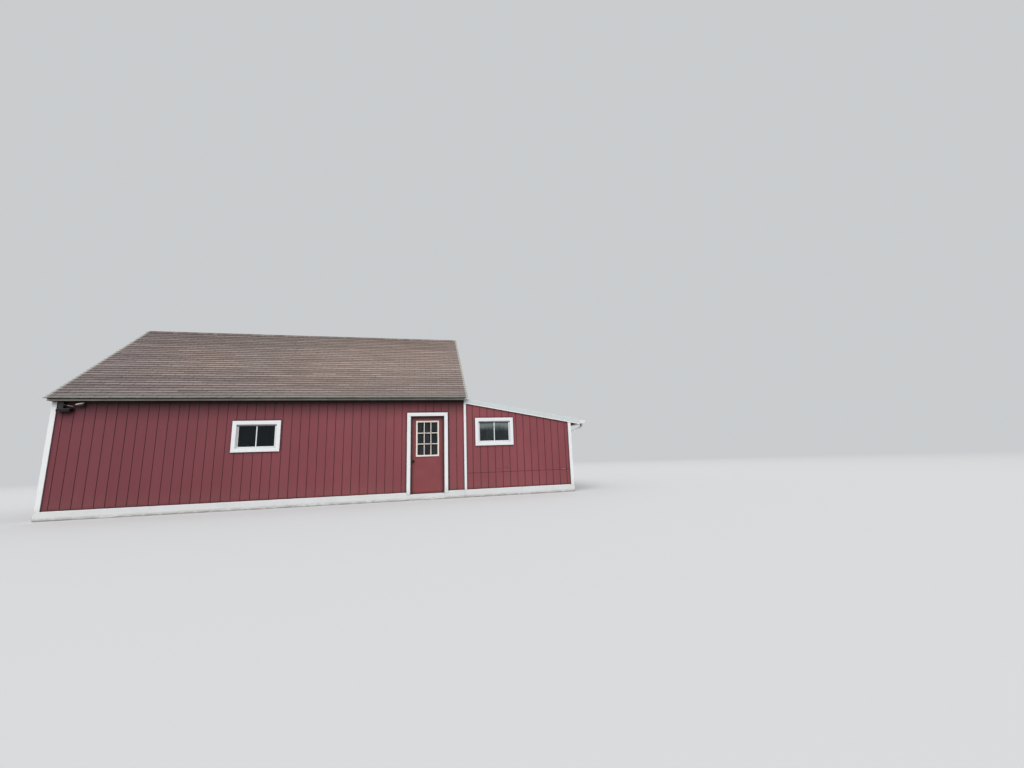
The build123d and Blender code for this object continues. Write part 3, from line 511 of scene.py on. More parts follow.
def enamel(name, base, dirt, roughness=0.38, dull=0.4, shaded=None):
    """Baked paint or moulded plastic: smooth, with faint dirt, painted shade in corners and painted shade
    between two given heights.
    """
    s = Surface(name, base, specular=0.45)
    blot = s.grain(7, 5, 0.62, drawn_out("Z", 0.45))
    s.wash(blot, 0.48, 0.85, dull, dirt)
    s.wash(s.grain(120, 2, 0.5), 0.66, 0.80, 0.30, dirt)
    # Painted shade in corners
    s.wash(s.corner_shade(0.02), 0.05, 0.50, 0.50, (0.050, 0.050, 0.048))
    # Painted shade between the two shaded heights, as under a head casing
    if shaded:
        low, high = shaded
        height = s.axis("Z")
        band = s.times(s.span(height, low - 0.002, low), s.span(height, high, high - 0.003))
        s.lay(s.times(band, 0.88), (0.016, 0.018, 0.020))
    s.bump(s.grain(22, 2, 0.5), 0.0004)
    return s.finish(s.span(blot, 0.3, 0.8, roughness, roughness + 0.18))


def dark_lamp():
    """Dark housing of the eave lamp, with painted shade in its corners and over its lower half, for the
    inside of its open hood.
    """
    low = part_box("eave_lamp")[0].z
    s = Surface("dark_lamp", LAMP_GREY, roughness=0.5, specular=0.3)
    s.wash(s.grain(18, 5, 0.6), 0.40, 0.75, 1.0, LAMP_BROWN)
    # Painted shade: the lower part black, as inside the open hood
    s.wash(s.axis("Z"), low + 0.062, low + 0.050, 1.0, LAMP_OPEN_SHADE)
    # Painted shade in corners
    s.wash(s.corner_shade(0.03), 0.05, 0.50, 0.70, BLACK_SHADE)
    s.bump(s.grain(60, 3, 0.6), 0.0006)
    return s.finish()


def door_paint():
    """Smooth painted steel, chalking lightly, a little worn at the foot, with painted shade in its frame's
    corners.
    """
    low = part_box("door_leaf")[0].z
    s = Surface("door_red", DOOR_RED, specular=0.4)
    creep = s.grain(16, 6, 0.7, (0.6, 1, 1))
    s.wash(s.grain(3.2, 5, 0.6), 0.38, 0.75, 0.35, DOOR_CHALK)
    rise = s.times(s.span(s.axis("Z"), low + 0.30, low), s.span(creep, 0.42, 0.70))
    s.lay(s.times(rise, 0.50), DOOR_RUBBED)
    s.wash(rise, 0.55, 0.95, 0.45, DOOR_RUST)
    # Painted shade in the frame's corners
    s.wash(s.corner_shade(0.10), 0.06, 0.48, 0.80, RED_SHADE)
    s.bump(s.grain(5, 2, 0.4), 0.0012)
    return s.finish(s.span(rise, 0.2, 0.9, 0.42, 0.70))


def pane():
    """Glass painted near black for the shade of the room behind: clear in the barn, with streaks of painted
    reflection in the door, grey-topped in the lean-to.
    """
    door_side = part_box("door_glass")[0].x
    s = Surface("dark_glass", specular=0.22)
    s.shader.inputs["IOR"].default_value = 1.5
    x = s.axis("X")
    height = s.axis("Z")
    in_door = s.span(x, door_side - 0.2, door_side - 0.1, 0.05, 0.42)
    uneven = s.plus(height, s.times(s.grain(2.1, 2), 0.22))
    top = s.times(s.span(uneven, glass_top - 0.16, glass_top + 0.10), s.span(x, party, party + 0.1))
    top = s.times(top, s.span(height, glass_top - 0.006, glass_top - 0.022))
    # In the door, streaks of painted reflection that also make the glass rougher
    streak_noise = s.grain(30, 4, 0.6, drawn_out("Z", 0.05))
    dust_and_reflection = s.times(s.span(streak_noise, 0.32, 0.72, 0.2, 1.0), in_door)
    grey_share = s.plus(s.times(dust_and_reflection, 0.54), s.times(top, 1.15))
    # Near-black glass colour: painted shade of the room behind
    s.colour = s.mix(grey_share, ROOM_SHADE, GLASS_GREY)
    s.feed(s.shader.inputs["Alpha"], s.span(grey_share, 0.0, 1.0, 0.75, 0.97))
    s.bump(s.grain(3.5, 3, 0.5), 0.0008)
    return s.finish(s.span(dust_and_reflection, 0.0, 1.0, 0.03, 0.22))


def metal(name, base, spots, roughness, metallic=1.0):
    """Worn metal with oxide spots."""
    s = Surface(name, base, metallic=metallic)
    spot = s.grain(45, 4, 0.7)
    s.wash(spot, 0.55, 0.78, 0.8, spots)
    s.bump(s.grain(300, 3, 0.6, drawn_out("Z", 0.1)), 0.0003)
    return s.finish(s.span(spot, 0.3, 0.8, roughness, roughness + 0.3))


def write_mark(mesh, name, values, domain="FACE"):
    """Write one value for each face or point of a mesh, for the materials to read."""
    mesh.attributes.new(name, "FLOAT", domain).data.foreach_set("value", values)


BOX_FACES = [[0, 2, 3, 1], [4, 5, 7, 6], [0, 1, 5, 4], [1, 3, 7, 5], [3, 2, 6, 7], [2, 0, 4, 6]]


class Form:
    """Points and faces gathered for one mesh piece, with values written on its faces."""

    def __init__(self):
        self.points = []
        self.faces = []
        self.marks = {}
        self.heights = []

    def add(self, points, faces, heights=None, **marks):
        """Add points and faces; heights has a value for each point, a mark one for all faces or for each."""
        start = len(self.points)
        self.points.extend(points)
        self.heights.extend(heights or [0.0] * len(points))
        self.faces.extend([start + index for index in face] for face in faces)
        for name, values in marks.items():
            if not isinstance(values, list):
                values = [values] * len(faces)
            self.marks.setdefault(name, []).extend(values)

    def box(self, low, high):
        corners = [(x, y, z) for z in (low[2], high[2]) for y in (low[1], high[1]) for x in (low[0], high[0])]
        self.add(corners, BOX_FACES)

    def prism(self, start_outline, end_outline, **marks):
        """Closed solid between two outlines with as many points each."""
        count = len(start_outline)
        faces = [list(range(count))[::-1], list(range(count, 2 * count))]
        for index in range(count):
            after = (index + 1) % count
            faces.append([index, after, count + after, count + index])
        self.add([*start_outline, *end_outline], faces, **marks)

    def turned(self, start, direction, profile, sides=16):
        """Solid turned about a line from start; the profile is pairs of place along it and radius."""
        along = Vector(direction).normalized()
        first = along.orthogonal().normalized()
        second = along.cross(first)
        points = [
            Vector(start) + along * place + (first * cos(turn) + second * sin(turn)) * radius
            for place, radius in profile
            for turn in (2 * pi * step / sides for step in range(sides))
        ]
        faces = [list(range(sides))[::-1], list(range(len(points) - sides, len(points)))]
        for ring in range(0, len(points) - sides, sides):
            for step in range(sides):
                after = (step + 1) % sides
                faces.append([ring + step, ring + after, ring + sides + after, ring + sides + step])
        self.add(points, faces)

    def mesh(self, name):
        made = bpy.data.meshes.new(name)
        made.from_pydata([tuple(point) for point in self.points], [], self.faces)
        for mark, values in self.marks.items():
            write_mark(made, mark, values)
        if any(self.heights):
            write_mark(made, "up", self.heights, "POINT")
        made.validate()
        return made


def in_scene(name, data):
    """A new object in the scene."""
    made = bpy.data.objects.new(name, data)
    bpy.context.scene.collection.objects.link(made)
    return made


def piece(mesh, name, material, slot, body="building", replaced=(), smooth=False):
    """Show a mesh as a named piece that rides on a body."""
    made = in_scene(name, mesh)
    made.data.materials.clear()
    made.data.materials.append(material)
    for face in made.data.polygons:
        face.use_smooth = smooth
    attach(made, body)
    if replaced:
        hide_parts(*replaced)
    return made


def outward(mesh):
    """Turn every face of a closed mesh outwards."""
    work = bmesh.new()
    work.from_mesh(mesh)
    bmesh.ops.recalc_face_normals(work, faces=work.faces)
    work.to_mesh(mesh)
    work.free()
    return mesh


def closed_piece(form, name, material, slot, **options):
    """Show a form of closed solids as a piece."""
    return piece(outward(form.mesh(name)), name, material, slot, **options)


def clean_copy(node, name):
    """A copy of a node's mesh with shared corners and no needless edges."""
    work = bmesh.new()
    work.from_mesh(nodes[node].data)
    bmesh.ops.remove_doubles(work, verts=work.verts, dist=1e-5)
    bmesh.ops.dissolve_limit(work, angle_limit=radians(0.5), verts=work.verts, edges=work.edges)
    made = bpy.data.meshes.new(name)
    work.to_mesh(made)
    work.free()
    for extra in ("custom_normal", "UVMap"):
        if extra in made.attributes:
            made.attributes.remove(made.attributes[extra])
    return made


def carve(mesh, cutter):
    """Cut the solids of a form out of a mesh."""
    body = in_scene("carved", mesh)
    tool = in_scene("cutter", outward(cutter.mesh("cutter")))
    cut = body.modifiers.new("cut", "BOOLEAN")
    cut.operation = "DIFFERENCE"
    cut.solver = "EXACT"
    cut.object = tool
    graph = bpy.context.evaluated_depsgraph_get()
    made = bpy.data.meshes.new_from_object(body.evaluated_get(graph))
    for item in (body, tool):
        bpy.data.objects.remove(item)
    return made


def ease(target, width):
    """Round the sharp edges of a piece or node a little."""
    weld = target.modifiers.new("weld", "WELD")
    weld.merge_threshold = 1e-5
    bevel = target.modifiers.new("ease", "BEVEL")
    bevel.width = width
    bevel.segments = 2
    bevel.limit_method = "ANGLE"
    bevel.angle_limit = radians(35)


# Siding: the sheets' grooves, seams, nails and tones

red_paint = siding_paint()
nails = Form()


def grooved_sheet(node, facing, seam=None):
    """Cut upright grooves into a sheet whose face looks along facing, one of -Y, +Y, -X and +X.

    A seam is a thin cut across the sheet, given by its heights at both ends.
    """
    low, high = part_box(node)
    across, through = (1, 0) if "X" in facing else (0, 1)
    inward = 1 if facing[0] == "-" else -1
    outer = low[through] if inward == 1 else high[through]
    origin = (barn_left, front)[across] + LEANTO_SHIFT * (across == 0 and low.x > party - 0.001)

    def sheet_point(along, depth, z):
        place = [0, 0, z]
        place[across] = along
        place[through] = outer + inward * depth
        return tuple(place)

    def add_cut(form, start, end, depth):
        """A cut between two upright outlines, each given by its place along the wall and two heights."""
        outlines = []
        for along, bottom, top in (start, end):
            corners = ((-CUT_MARGIN, bottom), (depth, bottom), (depth, top), (-CUT_MARGIN, top))
            outlines.append([sheet_point(along, deep, z) for deep, z in corners])
        form.prism(*outlines)

    grooves = Form()
    heights = (low.z - CUT_MARGIN, high.z + CUT_MARGIN)
    first = ceil((low[across] - origin) / GROOVE_PITCH + 0.1)
    last = floor((high[across] - origin) / GROOVE_PITCH - 0.1)
    for index in range(first, last + 1):
        middle = origin + index * GROOVE_PITCH
        sides = (middle - GROOVE_WIDTH / 2, middle + GROOVE_WIDTH / 2)
        add_cut(grooves, (sides[0], *heights), (sides[1], *heights), GROOVE_DEPTH)
    mesh = carve(clean_copy(node, node + "_grooved"), grooves)
    if seam:
        ends = (low[across] - CUT_MARGIN, high[across] + CUT_MARGIN)
        cut = Form()
        add_cut(cut, *((end, z, z + SEAM_HEIGHT) for end, z in zip(ends, seam)), SEAM_DEPTH)
        mesh = carve(mesh, cut)
    surface = BVHTree.FromPolygons([v.co for v in mesh.vertices], [face.vertices for face in mesh.polygons])
    inwards = Vector([inward if axis == through else 0 for axis in range(3)])
    for index in range(first - first % 2, last + 2, 2):
        along = origin + (index + 0.14) * GROOVE_PITCH
        z = low.z + 0.05
        while z < high.z:
            struck = surface.ray_cast(Vector(sheet_point(along, -CUT_MARGIN, z)), inwards)[0]
            if struck and abs(struck[through] - outer) < 0.0005:
                nails.turned(struck, -inwards, [(-0.0005, NAIL_RADIUS), (0.0010, NAIL_RADIUS * 0.8)], 6)
            z += NAIL_SPACING
    tones, depths = [], []
    for face in mesh.polygons:
        groove = (face.center[across] - origin) / GROOVE_PITCH
        draw = Random(1000 * through + 100 * inward + floor(groove / GROOVES_PER_SHEET) * 7)
        tones.append(0.75 * draw.random() + 0.25 * Random(floor(groove) * 31 + through).random())
        depth = (face.center[through] - outer) * inward
        depths.append(1.0 if 0.001 < depth < GROOVE_DEPTH + 0.001 else 0.0)
    write_mark(mesh, "tone", tones)
    write_mark(mesh, "groove", depths)
    write_mark(mesh, "side", [float(across)] * len(depths))
    piece(mesh, node + "_grooved", red_paint, "barn_red_siding", replaced=[node])


gable_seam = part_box("siding_front_left")[0].z + SHEET_HEIGHT
for sheet_node, sheet_facing, sheet_seam in (
    ("siding_front_left", "-Y", None),
    ("siding_front_right", "-Y", None),
    ("siding_over_door", "-Y", None),
    ("siding_back", "+Y", None),
    ("siding_leanto_front", "-Y", LEANTO_SEAM),
    ("siding_leanto_back", "+Y", None),
    ("siding_left_gable", "-X", (gable_seam, gable_seam)),
    ("siding_right_gable_upper", "+X", (gable_seam, gable_seam)),
    ("siding_right_gable_lower", "+X", None),
    ("siding_leanto_side", "+X", None),
):
    grooved_sheet(sheet_node, sheet_facing, sheet_seam)
nail_paint = enamel("painted_nails", RED_BRIGHT, (0.150, 0.055, 0.035), 0.5, 0.8)
closed_piece(nails, "siding_nails", nail_paint, "barn_red_siding")


# Shingled slopes


class Slope:
    """The sloping top face of a roof slab: its lower corner, its directions and its extent."""

    def __init__(self, node):
        mesh = nodes[node].data
        top = max((f for f in mesh.polygons if f.normal.z > 0.3), key=lambda f: f.area)
        self.normal = top.normal.copy()
        self.up = (Vector((0, 0, 1)) - self.normal * self.normal.z).normalized()
        self.along = self.up.cross(self.normal)
        levels = [v.co.dot(self.normal) for v in mesh.vertices]
        level = max(levels)
        top_points = [v.co for v in mesh.vertices if v.co.dot(self.normal) > level - 1e-4]
        along = [point.dot(self.along) for point in top_points]
        up = [point.dot(self.up) for point in top_points]
        self.length = max(along) - min(along)
        self.rise = max(up) - min(up)
        self.thickness = level - min(levels)
        self.corner = self.along * min(along) + self.up * min(up) + self.normal * level

    def point(self, along, up, lift):
        return self.corner + self.along * along + self.up * up + self.normal * lift

    def block(self, form, low, high, **marks):
        corners = [
            self.point(along, up, lift)
            for lift in (low[2], high[2])
            for up in (low[1], high[1])
            for along in (low[0], high[0])
        ]
        form.add(corners, BOX_FACES, **marks)


# Faces of one tab and how black each is: two on top, two of the butt, two below and the ends
TAB_FACES = [[0, 1, 4, 3], [1, 2, 5, 4], [1, 0, 6, 7], [2, 1, 7, 8]]
TAB_FACES += [[7, 6, 3, 4], [8, 7, 4, 5], [0, 3, 6], [2, 8, 5]]
TAB_EDGES = [0.0, 0.0, 0.9, 0.9, 1.0, 1.0, 0.85, 0.85]


def shingle_tab(form, slope, start, end, foot, head, lifts, tone, weathered):
    """One tab: a thin wedge, three points wide, whose butt lies on the course below."""
    top = (head - foot) / COURSE
    sunk = max(-TAB_BUTT * top, -slope.thickness * 0.94)
    places = (start, (start + end) / 2, end)
    points = [slope.point(place, foot, lift) for place, lift in zip(places, lifts)]
    points += [slope.point(place, head, sunk) for place in places]
    points += [slope.point(place, foot, lift - TAB_BUTT) for place, lift in zip(places, lifts)]
    heights = [0, 0, 0, top, top, top, 0, 0, 0]
    form.add(points, TAB_FACES, heights, tone=tone, weathered=weathered, edge=TAB_EDGES)


def shingled(name, node, material, seed):
    """Lay courses of tabs over a slab, each course shifted by half a tab."""
    slope = Slope(node)
    draw = Random(seed)
    form = Form()
    bottom = (0, 0, -slope.thickness)
    top = (slope.length, slope.rise, -slope.thickness * 0.92)
    slope.block(form, bottom, top, tone=0.1, weathered=0.0, edge=0.9)
    for course in range(ceil(slope.rise / COURSE)):
        foot = course * COURSE
        head = min(foot + COURSE + TAB_LAP, slope.rise)
        start = -TAB_WIDTH * (0.5 if course % 2 else 1.0) + draw.uniform(-0.01, 0.01)
        course_tone = draw.uniform(0.22, 0.78)
        run_tone, run_left = course_tone, 0
        worn = 1.0 - min(1.0, foot / WORN_RISE)
        while start < slope.length:
            if run_left == 0:
                run_tone = min(1.0, max(0.0, course_tone + draw.gauss(0.0, 0.16)))
                run_left = draw.choice((1, 2, 2, 3, 4))
            run_left -= 1
            tone = min(1.0, max(0.0, run_tone + draw.uniform(-0.10, 0.10)))
            left = max(start + TAB_GAP / 2, 0.0)
            right = min(start + TAB_WIDTH - TAB_GAP / 2, slope.length)
            if right - left > NARROWEST_TAB:
                lifts = [draw.uniform(-0.0008, 0.0016 + 0.0030 * worn) for _ in range(3)]
                if draw.random() < 0.05 + 0.20 * worn:
                    lifts[draw.randrange(3)] += draw.uniform(0.002, 0.006)
                drop = 0.0 if course == 0 else draw.uniform(-0.002, 0.002)
                near_rake = 1.0 - min(1.0, min(left, slope.length - right) / WORN_RAKE)
                faded = min(1.0, 0.62 * worn + 0.35 * near_rake)
                shingle_tab(form, slope, left, right, foot + drop, head, lifts, tone, faded)
            start += TAB_WIDTH
    piece(form.mesh(name), name, material, "brown_shingles", replaced=[node])


shingle_finish = shingle_grit()
shingled("shingles_front_tabs", "shingles_front", shingle_finish, 11)
shingled("shingles_back_tabs", "shingles_back", shingle_finish, 12)
shingled("leanto_roofing_tabs", "leanto_roofing", shingle_finish, 13)


def ridge_caps():
    """Cap shingles folded over the ridge, each lapped over the last."""
    low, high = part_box("ridge_cap")
    slope = Slope("shingles_front")
    draw = Random(21)
    form = Form()
    wing = high.y / cos(slope.normal.angle(Vector((0, 0, 1))))
    crown = high.z - 0.004
    count = round((high.x - low.x) / CAP_EXPOSURE)
    step = (high.x - low.x) / count
    for index in range(count):
        start = low.x + index * step
        end = min(start + step + CAP_LAP, high.x)
        tone = draw.random()
        rows = []
        for place, lift in ((start, 0.0035 + draw.uniform(0, 0.002)), (end, -0.0025)):
            reach = wing + draw.uniform(-0.004, 0.004)
            folds = [(0.012, -0.001), (reach * 0.5, 0.0), (reach, 0.0)]
            outer = [(-side, drop) for side, drop in reversed(folds)] + folds
            for depth in (0.0, CAP_THICKNESS):
                row = []
                for side, drop in outer:
                    z = crown - abs(side) * slope.up.z + lift + drop - depth
                    row.append((place, side * abs(slope.up.y), z))
                rows.append(row)
        near_top, near_low, far_top, far_low = rows
        near, far = near_top + near_low[::-1], far_top + far_low[::-1]
        shade = [0.25] * len(near) + [0.80] * len(far)
        form.prism(near, far, heights=shade, tone=tone, weathered=0.15, edge=0.0)
    mesh = outward(form.mesh("ridge_cap_shingles"))
    edges = [0.8 if abs(face.normal.x) > 0.7 else 0.0 for face in mesh.polygons]
    mesh.attributes["edge"].data.foreach_set("value", edges)
    piece(mesh, "ridge_cap_shingles", shingle_finish, "brown_shingles", replaced=["ridge_cap"])


ridge_caps()

# Finishes of the boards, the frames and the other nodes that keep their shape

upright_trim = trim_paint("white_trim", "Z")
jamb_paint = trim_paint("jamb_red", "Z", JAMB_RED, (0.070, 0.030, 0.028))
rake_trim = trim_paint("white_trim_rake", "Y", grey_below=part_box("rake_boards")[0].z + RAKE_FOOT_HEIGHT)
leanto_pitch = Slope("leanto_roofing").normal
rake_foot = min(vertex.co.dot(leanto_pitch) for vertex in nodes["leanto_rake_boards"].data.vertices)
leanto_rake_trim = trim_paint("white_trim_leanto_rake", "X", RAKE_GREY, edge=(leanto_pitch, rake_foot))
upper_rail = (glass_top, glass_top + VINYL_SHADE)
vinyl = enamel("window_vinyl", (0.830, 0.850, 0.870), (0.540, 0.560, 0.560), shaded=upper_rail)
gutter_enamel = enamel("white_gutter", (0.775, 0.795, 0.805), (0.480, 0.485, 0.460), dull=0.45)
cream_frame = enamel("cream_lite_frame", CREAM, (0.520, 0.490, 0.410), 0.45, 0.5)
hardware = metal("dark_hardware", (0.018, 0.013, 0.012), (0.052, 0.028, 0.016), 0.45, 0.6)
hinge_steel = metal("steel_hinges", (0.480, 0.470, 0.450), (0.230, 0.120, 0.060), 0.35)
dull_holder = enamel("lamp_holder_dull", (0.190, 0.110, 0.112), (0.090, 0.060, 0.060), 0.4)
# The higher holder's pale paint is a painted highlight on its lit top
highlight_holder = enamel("lamp_holder_highlight", (0.720, 0.620, 0.610), (0.420, 0.340, 0.330), 0.4)
concrete_paint = whitewash()
fascia_paint = weathered_band()
lamp_paint = dark_lamp()

UPRIGHT_TIMBERS = (
    "front_wall_studs",
    "back_wall_studs",
    "left_gable_studs",
    "right_gable_studs",
    "gable_end_studs",
    "leanto_wall_frames",
    "leanto_side_frame",
)
LEVEL_TIMBERS = ("door_headers", "top_plates", "ridge_board", "leanto_rafters")
DEEP_TIMBERS = ("rafters_back", "rafters_front", "collar_ties", "leanto_ledger")
FINISHES = (
    (bare_concrete(), 0, ["floor_slabs"]),
    (concrete_paint, 0.004, ["door_sill"]),
    (timber("framing_timber", "Z"), 0, UPRIGHT_TIMBERS),
    (timber("framing_timber_level", "X"), 0, LEVEL_TIMBERS),
    (timber("framing_timber_rafter", "Y"), 0, DEEP_TIMBERS),
    (sheathing(), 0, ["roof_deck", "leanto_deck"]),
    (fascia_paint, 0.003, ["eave_fascias"]),
    (rake_trim, 0.003, ["rake_boards"]),
    (leanto_rake_trim, 0.003, ["leanto_rake_boards"]),
    (trim_paint("white_trim_sloping", "Y"), 0.003, ["leanto_fascia"]),
    (upright_trim, 0.003, ["corner_boards", "junction_boards", "door_casing"]),
    (trim_paint("white_trim_level", "X"), 0.003, ["window_casings"]),
    (vinyl, 0.0015, ["window_frames"]),
    (pane(), 0, ["window_glass", "door_glass"]),
    (jamb_paint, 0.002, ["door_jambs", "door_stops"]),
    (door_paint(), 0.002, ["door_leaf"]),
    (cream_frame, 0.002, ["door_lite_frame"]),
    (hinge_steel, 0, ["hinge_jamb_leaves", "hinge_door_leaves"]),
    (lamp_paint, 0.004, ["eave_lamp"]),
    (gutter_enamel, 0, ["gutter", "downspout"]),
)
for finish, edge_width, finished_nodes in FINISHES:
    for node_name in finished_nodes:
        nodes[node_name].data.materials.clear()
        nodes[node_name].data.materials.append(finish)
        if edge_width:
            ease(nodes[node_name], edge_width)


def rough_curb(node):
    """The curb with a hand-made unevenness: faces that wander by a few millimetres, worn edges."""
    mesh = clean_copy(node, node + "_rough")
    low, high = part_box(node)
    work = bmesh.new()
    work.from_mesh(mesh)
    for axis, step in ((0, 0.11), (1, 0.11), (2, 0.05)):
        direction = Vector([1 if index == axis else 0 for index in range(3)])
        place = low[axis] + step
        while place < high[axis] - step / 3:
            geometry = [*work.verts, *work.edges, *work.faces]
            bmesh.ops.bisect_plane(work, geom=geometry, plane_co=direction * place, plane_no=direction)
            place += step
    for vertex in work.verts:
        if vertex.co.z > low.z + 0.001:
            spot = vertex.co * 2.3
            wander = Vector((noise.noise(spot), noise.noise(spot + Vector((9, 0, 0))), 0)) * CURB_WANDER
            vertex.co += wander + Vector((0, 0, noise.noise(vertex.co * 9.0) * CURB_DIP))
    work.to_mesh(mesh)
    work.free()
    ease(piece(mesh, node + "_rough", concrete_paint, "whitewashed_concrete", replaced=[node]), 0.007)


rough_curb("main_foundation")
rough_curb("leanto_foundation")


def lite_bars():
    """Glazing bars of the door: three by three lites on both faces of the glass."""
    low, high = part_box("door_glass")
    face_low, face_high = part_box("door_lite_frame")
    form = Form()

    def bar(axis, middle, glass_side, face_side):
        """A bar with sloping shoulders, upright where axis is 2 and level where it is 0."""
        shoulder = face_side * 0.45 + glass_side * 0.55
        half = BAR_WIDTH / 2
        section = [(half - BAR_BEAD, face_side), (half, shoulder), (half, glass_side)]
        section = [(-offset, y) for offset, y in reversed(section)] + section
        outlines = []
        for end in (low[axis], high[axis]):
            if axis == 2:
                outlines.append([(middle + offset, y, end) for offset, y in section])
            else:
                outlines.append([(end, y, middle + offset) for offset, y in section])
        form.prism(*outlines)

    for glass_side, face_side in ((low.y, face_low.y + BAR_RECESS), (high.y, face_high.y - BAR_RECESS)):
        for share in (1 / 3, 2 / 3):
            bar(2, low.x + (high.x - low.x) * share, glass_side, face_side)
            bar(0, low.z + (high.z - low.z) * share, glass_side, face_side)
    closed_piece(form, "door_lite_bars", cream_frame, "cream_lite_frame", body="front_door")


def drip_edges():
    """Thin folded metal over the eave edges of the roof decks."""
    main_form, leanto_form = Form(), Form()
    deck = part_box("roof_deck")
    for node in ("shingles_front", "shingles_back"):
        slope = Slope(node)
        below = -slope.thickness
        past = deck[1].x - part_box("rake_boards")[1].x + deck[0].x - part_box(node)[0].x
        start = (past, 0.022, below - DRIP_FOLD)
        slope.block(main_form, start, (slope.length - past, 0.022 + DRIP_METAL, below))
    leanto = Slope("leanto_roofing")
    below = -leanto.thickness
    start = (0.030, 0.010 - DRIP_METAL, below - DRIP_FOLD)
    leanto.block(leanto_form, start, (leanto.length - 0.030, 0.010, below))
    closed_piece(main_form, "drip_edges", fascia_paint, "weathered_fascia")
    closed_piece(leanto_form, "leanto_drip_edge", gutter_enamel, "white_gutter")


def party_flashing():
    """Folded metal where the lean-to's roof meets the gable wall, in lapped lengths."""
    slope = Slope("leanto_roofing")
    form = Form()
    lengths, end_gap, lap, lap_step = 3, 0.12, 0.05, 0.0004
    run = (slope.length - 2 * end_gap) / lengths
    for index in range(lengths):
        start = end_gap + index * run
        end = start + run + lap * (index < lengths - 1)
        lift = 0.0065 + FLASHING_METAL * (index % 2)
        top = (end, slope.rise - 0.002, lift + FLASHING_METAL)
        slope.block(form, (start, slope.rise - 0.075, lift), top)
        corner = slope.point(start, slope.rise, lift)
        near, far = sorted((corner.y, slope.point(end, slope.rise, lift).y))
        wall = party + lap_step * index
        form.box((wall, near, corner.z - 0.004), (wall + 0.0016, far, corner.z + 0.055))
    closed_piece(form, "party_flashing", hinge_steel, "steel_hinges")


def gutter_hangers():
    """Straps across the gutter's mouth, each with a screw head on the fascia."""
    low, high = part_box("gutter")
    half, sheet = 0.011, 0.0015
    form = Form()
    for index in range(HANGERS):
        y = low.y + (high.y - low.y) * (index + 0.5) / HANGERS
        form.box((low.x, y - half, high.z - 0.0120), (high.x - 0.004, y + half, high.z - 0.0105))
        form.box((low.x, y - half, high.z - 0.0400), (low.x + sheet, y + half, high.z - 0.0120))
        form.turned((low.x + 0.001, y, high.z - 0.028), (1, 0, 0), [(0, 0.005), (0.003, 0.004)], 6)
    closed_piece(form, "gutter_hangers", gutter_enamel, "white_gutter")


def downspout_straps():
    """Two bands that hold the downspout to the side wall."""
    low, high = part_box("downspout")
    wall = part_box("siding_leanto_side")[1].x
    depth, sheet, ear = 0.050, 0.0014, 0.024
    out = wall + depth
    form = Form()
    for z in STRAP_HEIGHTS:
        top = z + STRAP_WIDTH
        form.box((out, low.y - sheet, z), (out + sheet, high.y + sheet, top))
        for inner, side in ((low.y, -1), (high.y, 1)):
            outer = inner + side * sheet
            tip = inner + side * ear
            form.box((wall, min(inner, outer), z), (out, max(inner, outer), top))
            form.box((wall, min(outer, tip), z), (wall + sheet, max(outer, tip), top))
            screw = (wall + sheet, (outer + tip) / 2, z + STRAP_WIDTH / 2)
            form.turned(screw, (1, 0, 0), [(0, 0.0045), (0.002, 0.003)], 6)
    closed_piece(form, "downspout_straps", gutter_enamel, "white_gutter")


def round_knobs():
    """Turned knobs with a stepped rose on both faces of the leaf."""
    low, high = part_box("door_knobs")
    leaf_low, leaf_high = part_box("door_leaf")
    centre = (low + high) / 2
    rose = (high.x - low.x) / 2
    middle = leaf_low.y - low.y - KNOB_BALL * 0.80
    profile = [(-0.0005, rose), (0.0025, rose), (0.0045, rose - 0.003), (0.0060, rose - 0.009)]
    profile += [(0.0075, 0.015), (0.010, 0.0115), (0.022, KNOB_NECK)]
    for step in range(1, 12):
        turn = pi * step / 12
        radius = max(KNOB_NECK * (step < 3), KNOB_BALL * sin(turn))
        profile.append((middle - KNOB_BALL * 0.80 * cos(turn), radius))
    form = Form()
    form.turned((centre.x, leaf_low.y, centre.z), (0, -1, 0), profile, 32)
    form.turned((centre.x, leaf_high.y, centre.z), (0, 1, 0), profile, 32)
    options = {"body": "front_door", "replaced": ["door_knobs"], "smooth": True}
    closed_piece(form, "door_knobs_turned", hardware, "dark_hardware", **options)


def latch_plates():
    """Latch plate on the leaf's edge and strike plate with its hole on the jamb."""
    leaf_low, leaf_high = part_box("door_leaf")
    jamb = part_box("door_stops")[0].x
    knob_low, knob_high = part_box("door_knobs")
    knob = (knob_low.z + knob_high.z) / 2
    middle = (leaf_low.y + leaf_high.y) / 2
    sheet, half_width, half_height, hole, screw = 0.0008, 0.0125, 0.0285, 0.010, 0.021
    near, far = middle - half_width, middle + half_width
    latch, strike = Form(), Form()
    latch.box((leaf_low.x - sheet, near, knob - half_height), (leaf_low.x, far, knob + half_height))
    latch.turned((leaf_low.x, middle, knob), (-1, 0, 0), [(0, 0.0065), (sheet + 0.0007, 0.0060)], 12)
    for side in (-1, 1):
        head = [(0, 0.0035), (sheet + 0.0004, 0.0030)]
        latch.turned((leaf_low.x, middle, knob + side * screw), (-1, 0, 0), head, 8)
        ends = sorted((knob + side * hole, knob + side * half_height))
        strike.box((jamb, near, ends[0]), (jamb + sheet, far, ends[1]))
        sides = sorted((middle + side * hole * 0.7, middle + side * half_width))
        strike.box((jamb, sides[0], knob - hole), (jamb + sheet, sides[1], knob + hole))
    closed_piece(latch, "latch_plate", hardware, "dark_hardware", body="front_door")
    closed_piece(strike, "strike_plate", hardware, "dark_hardware")


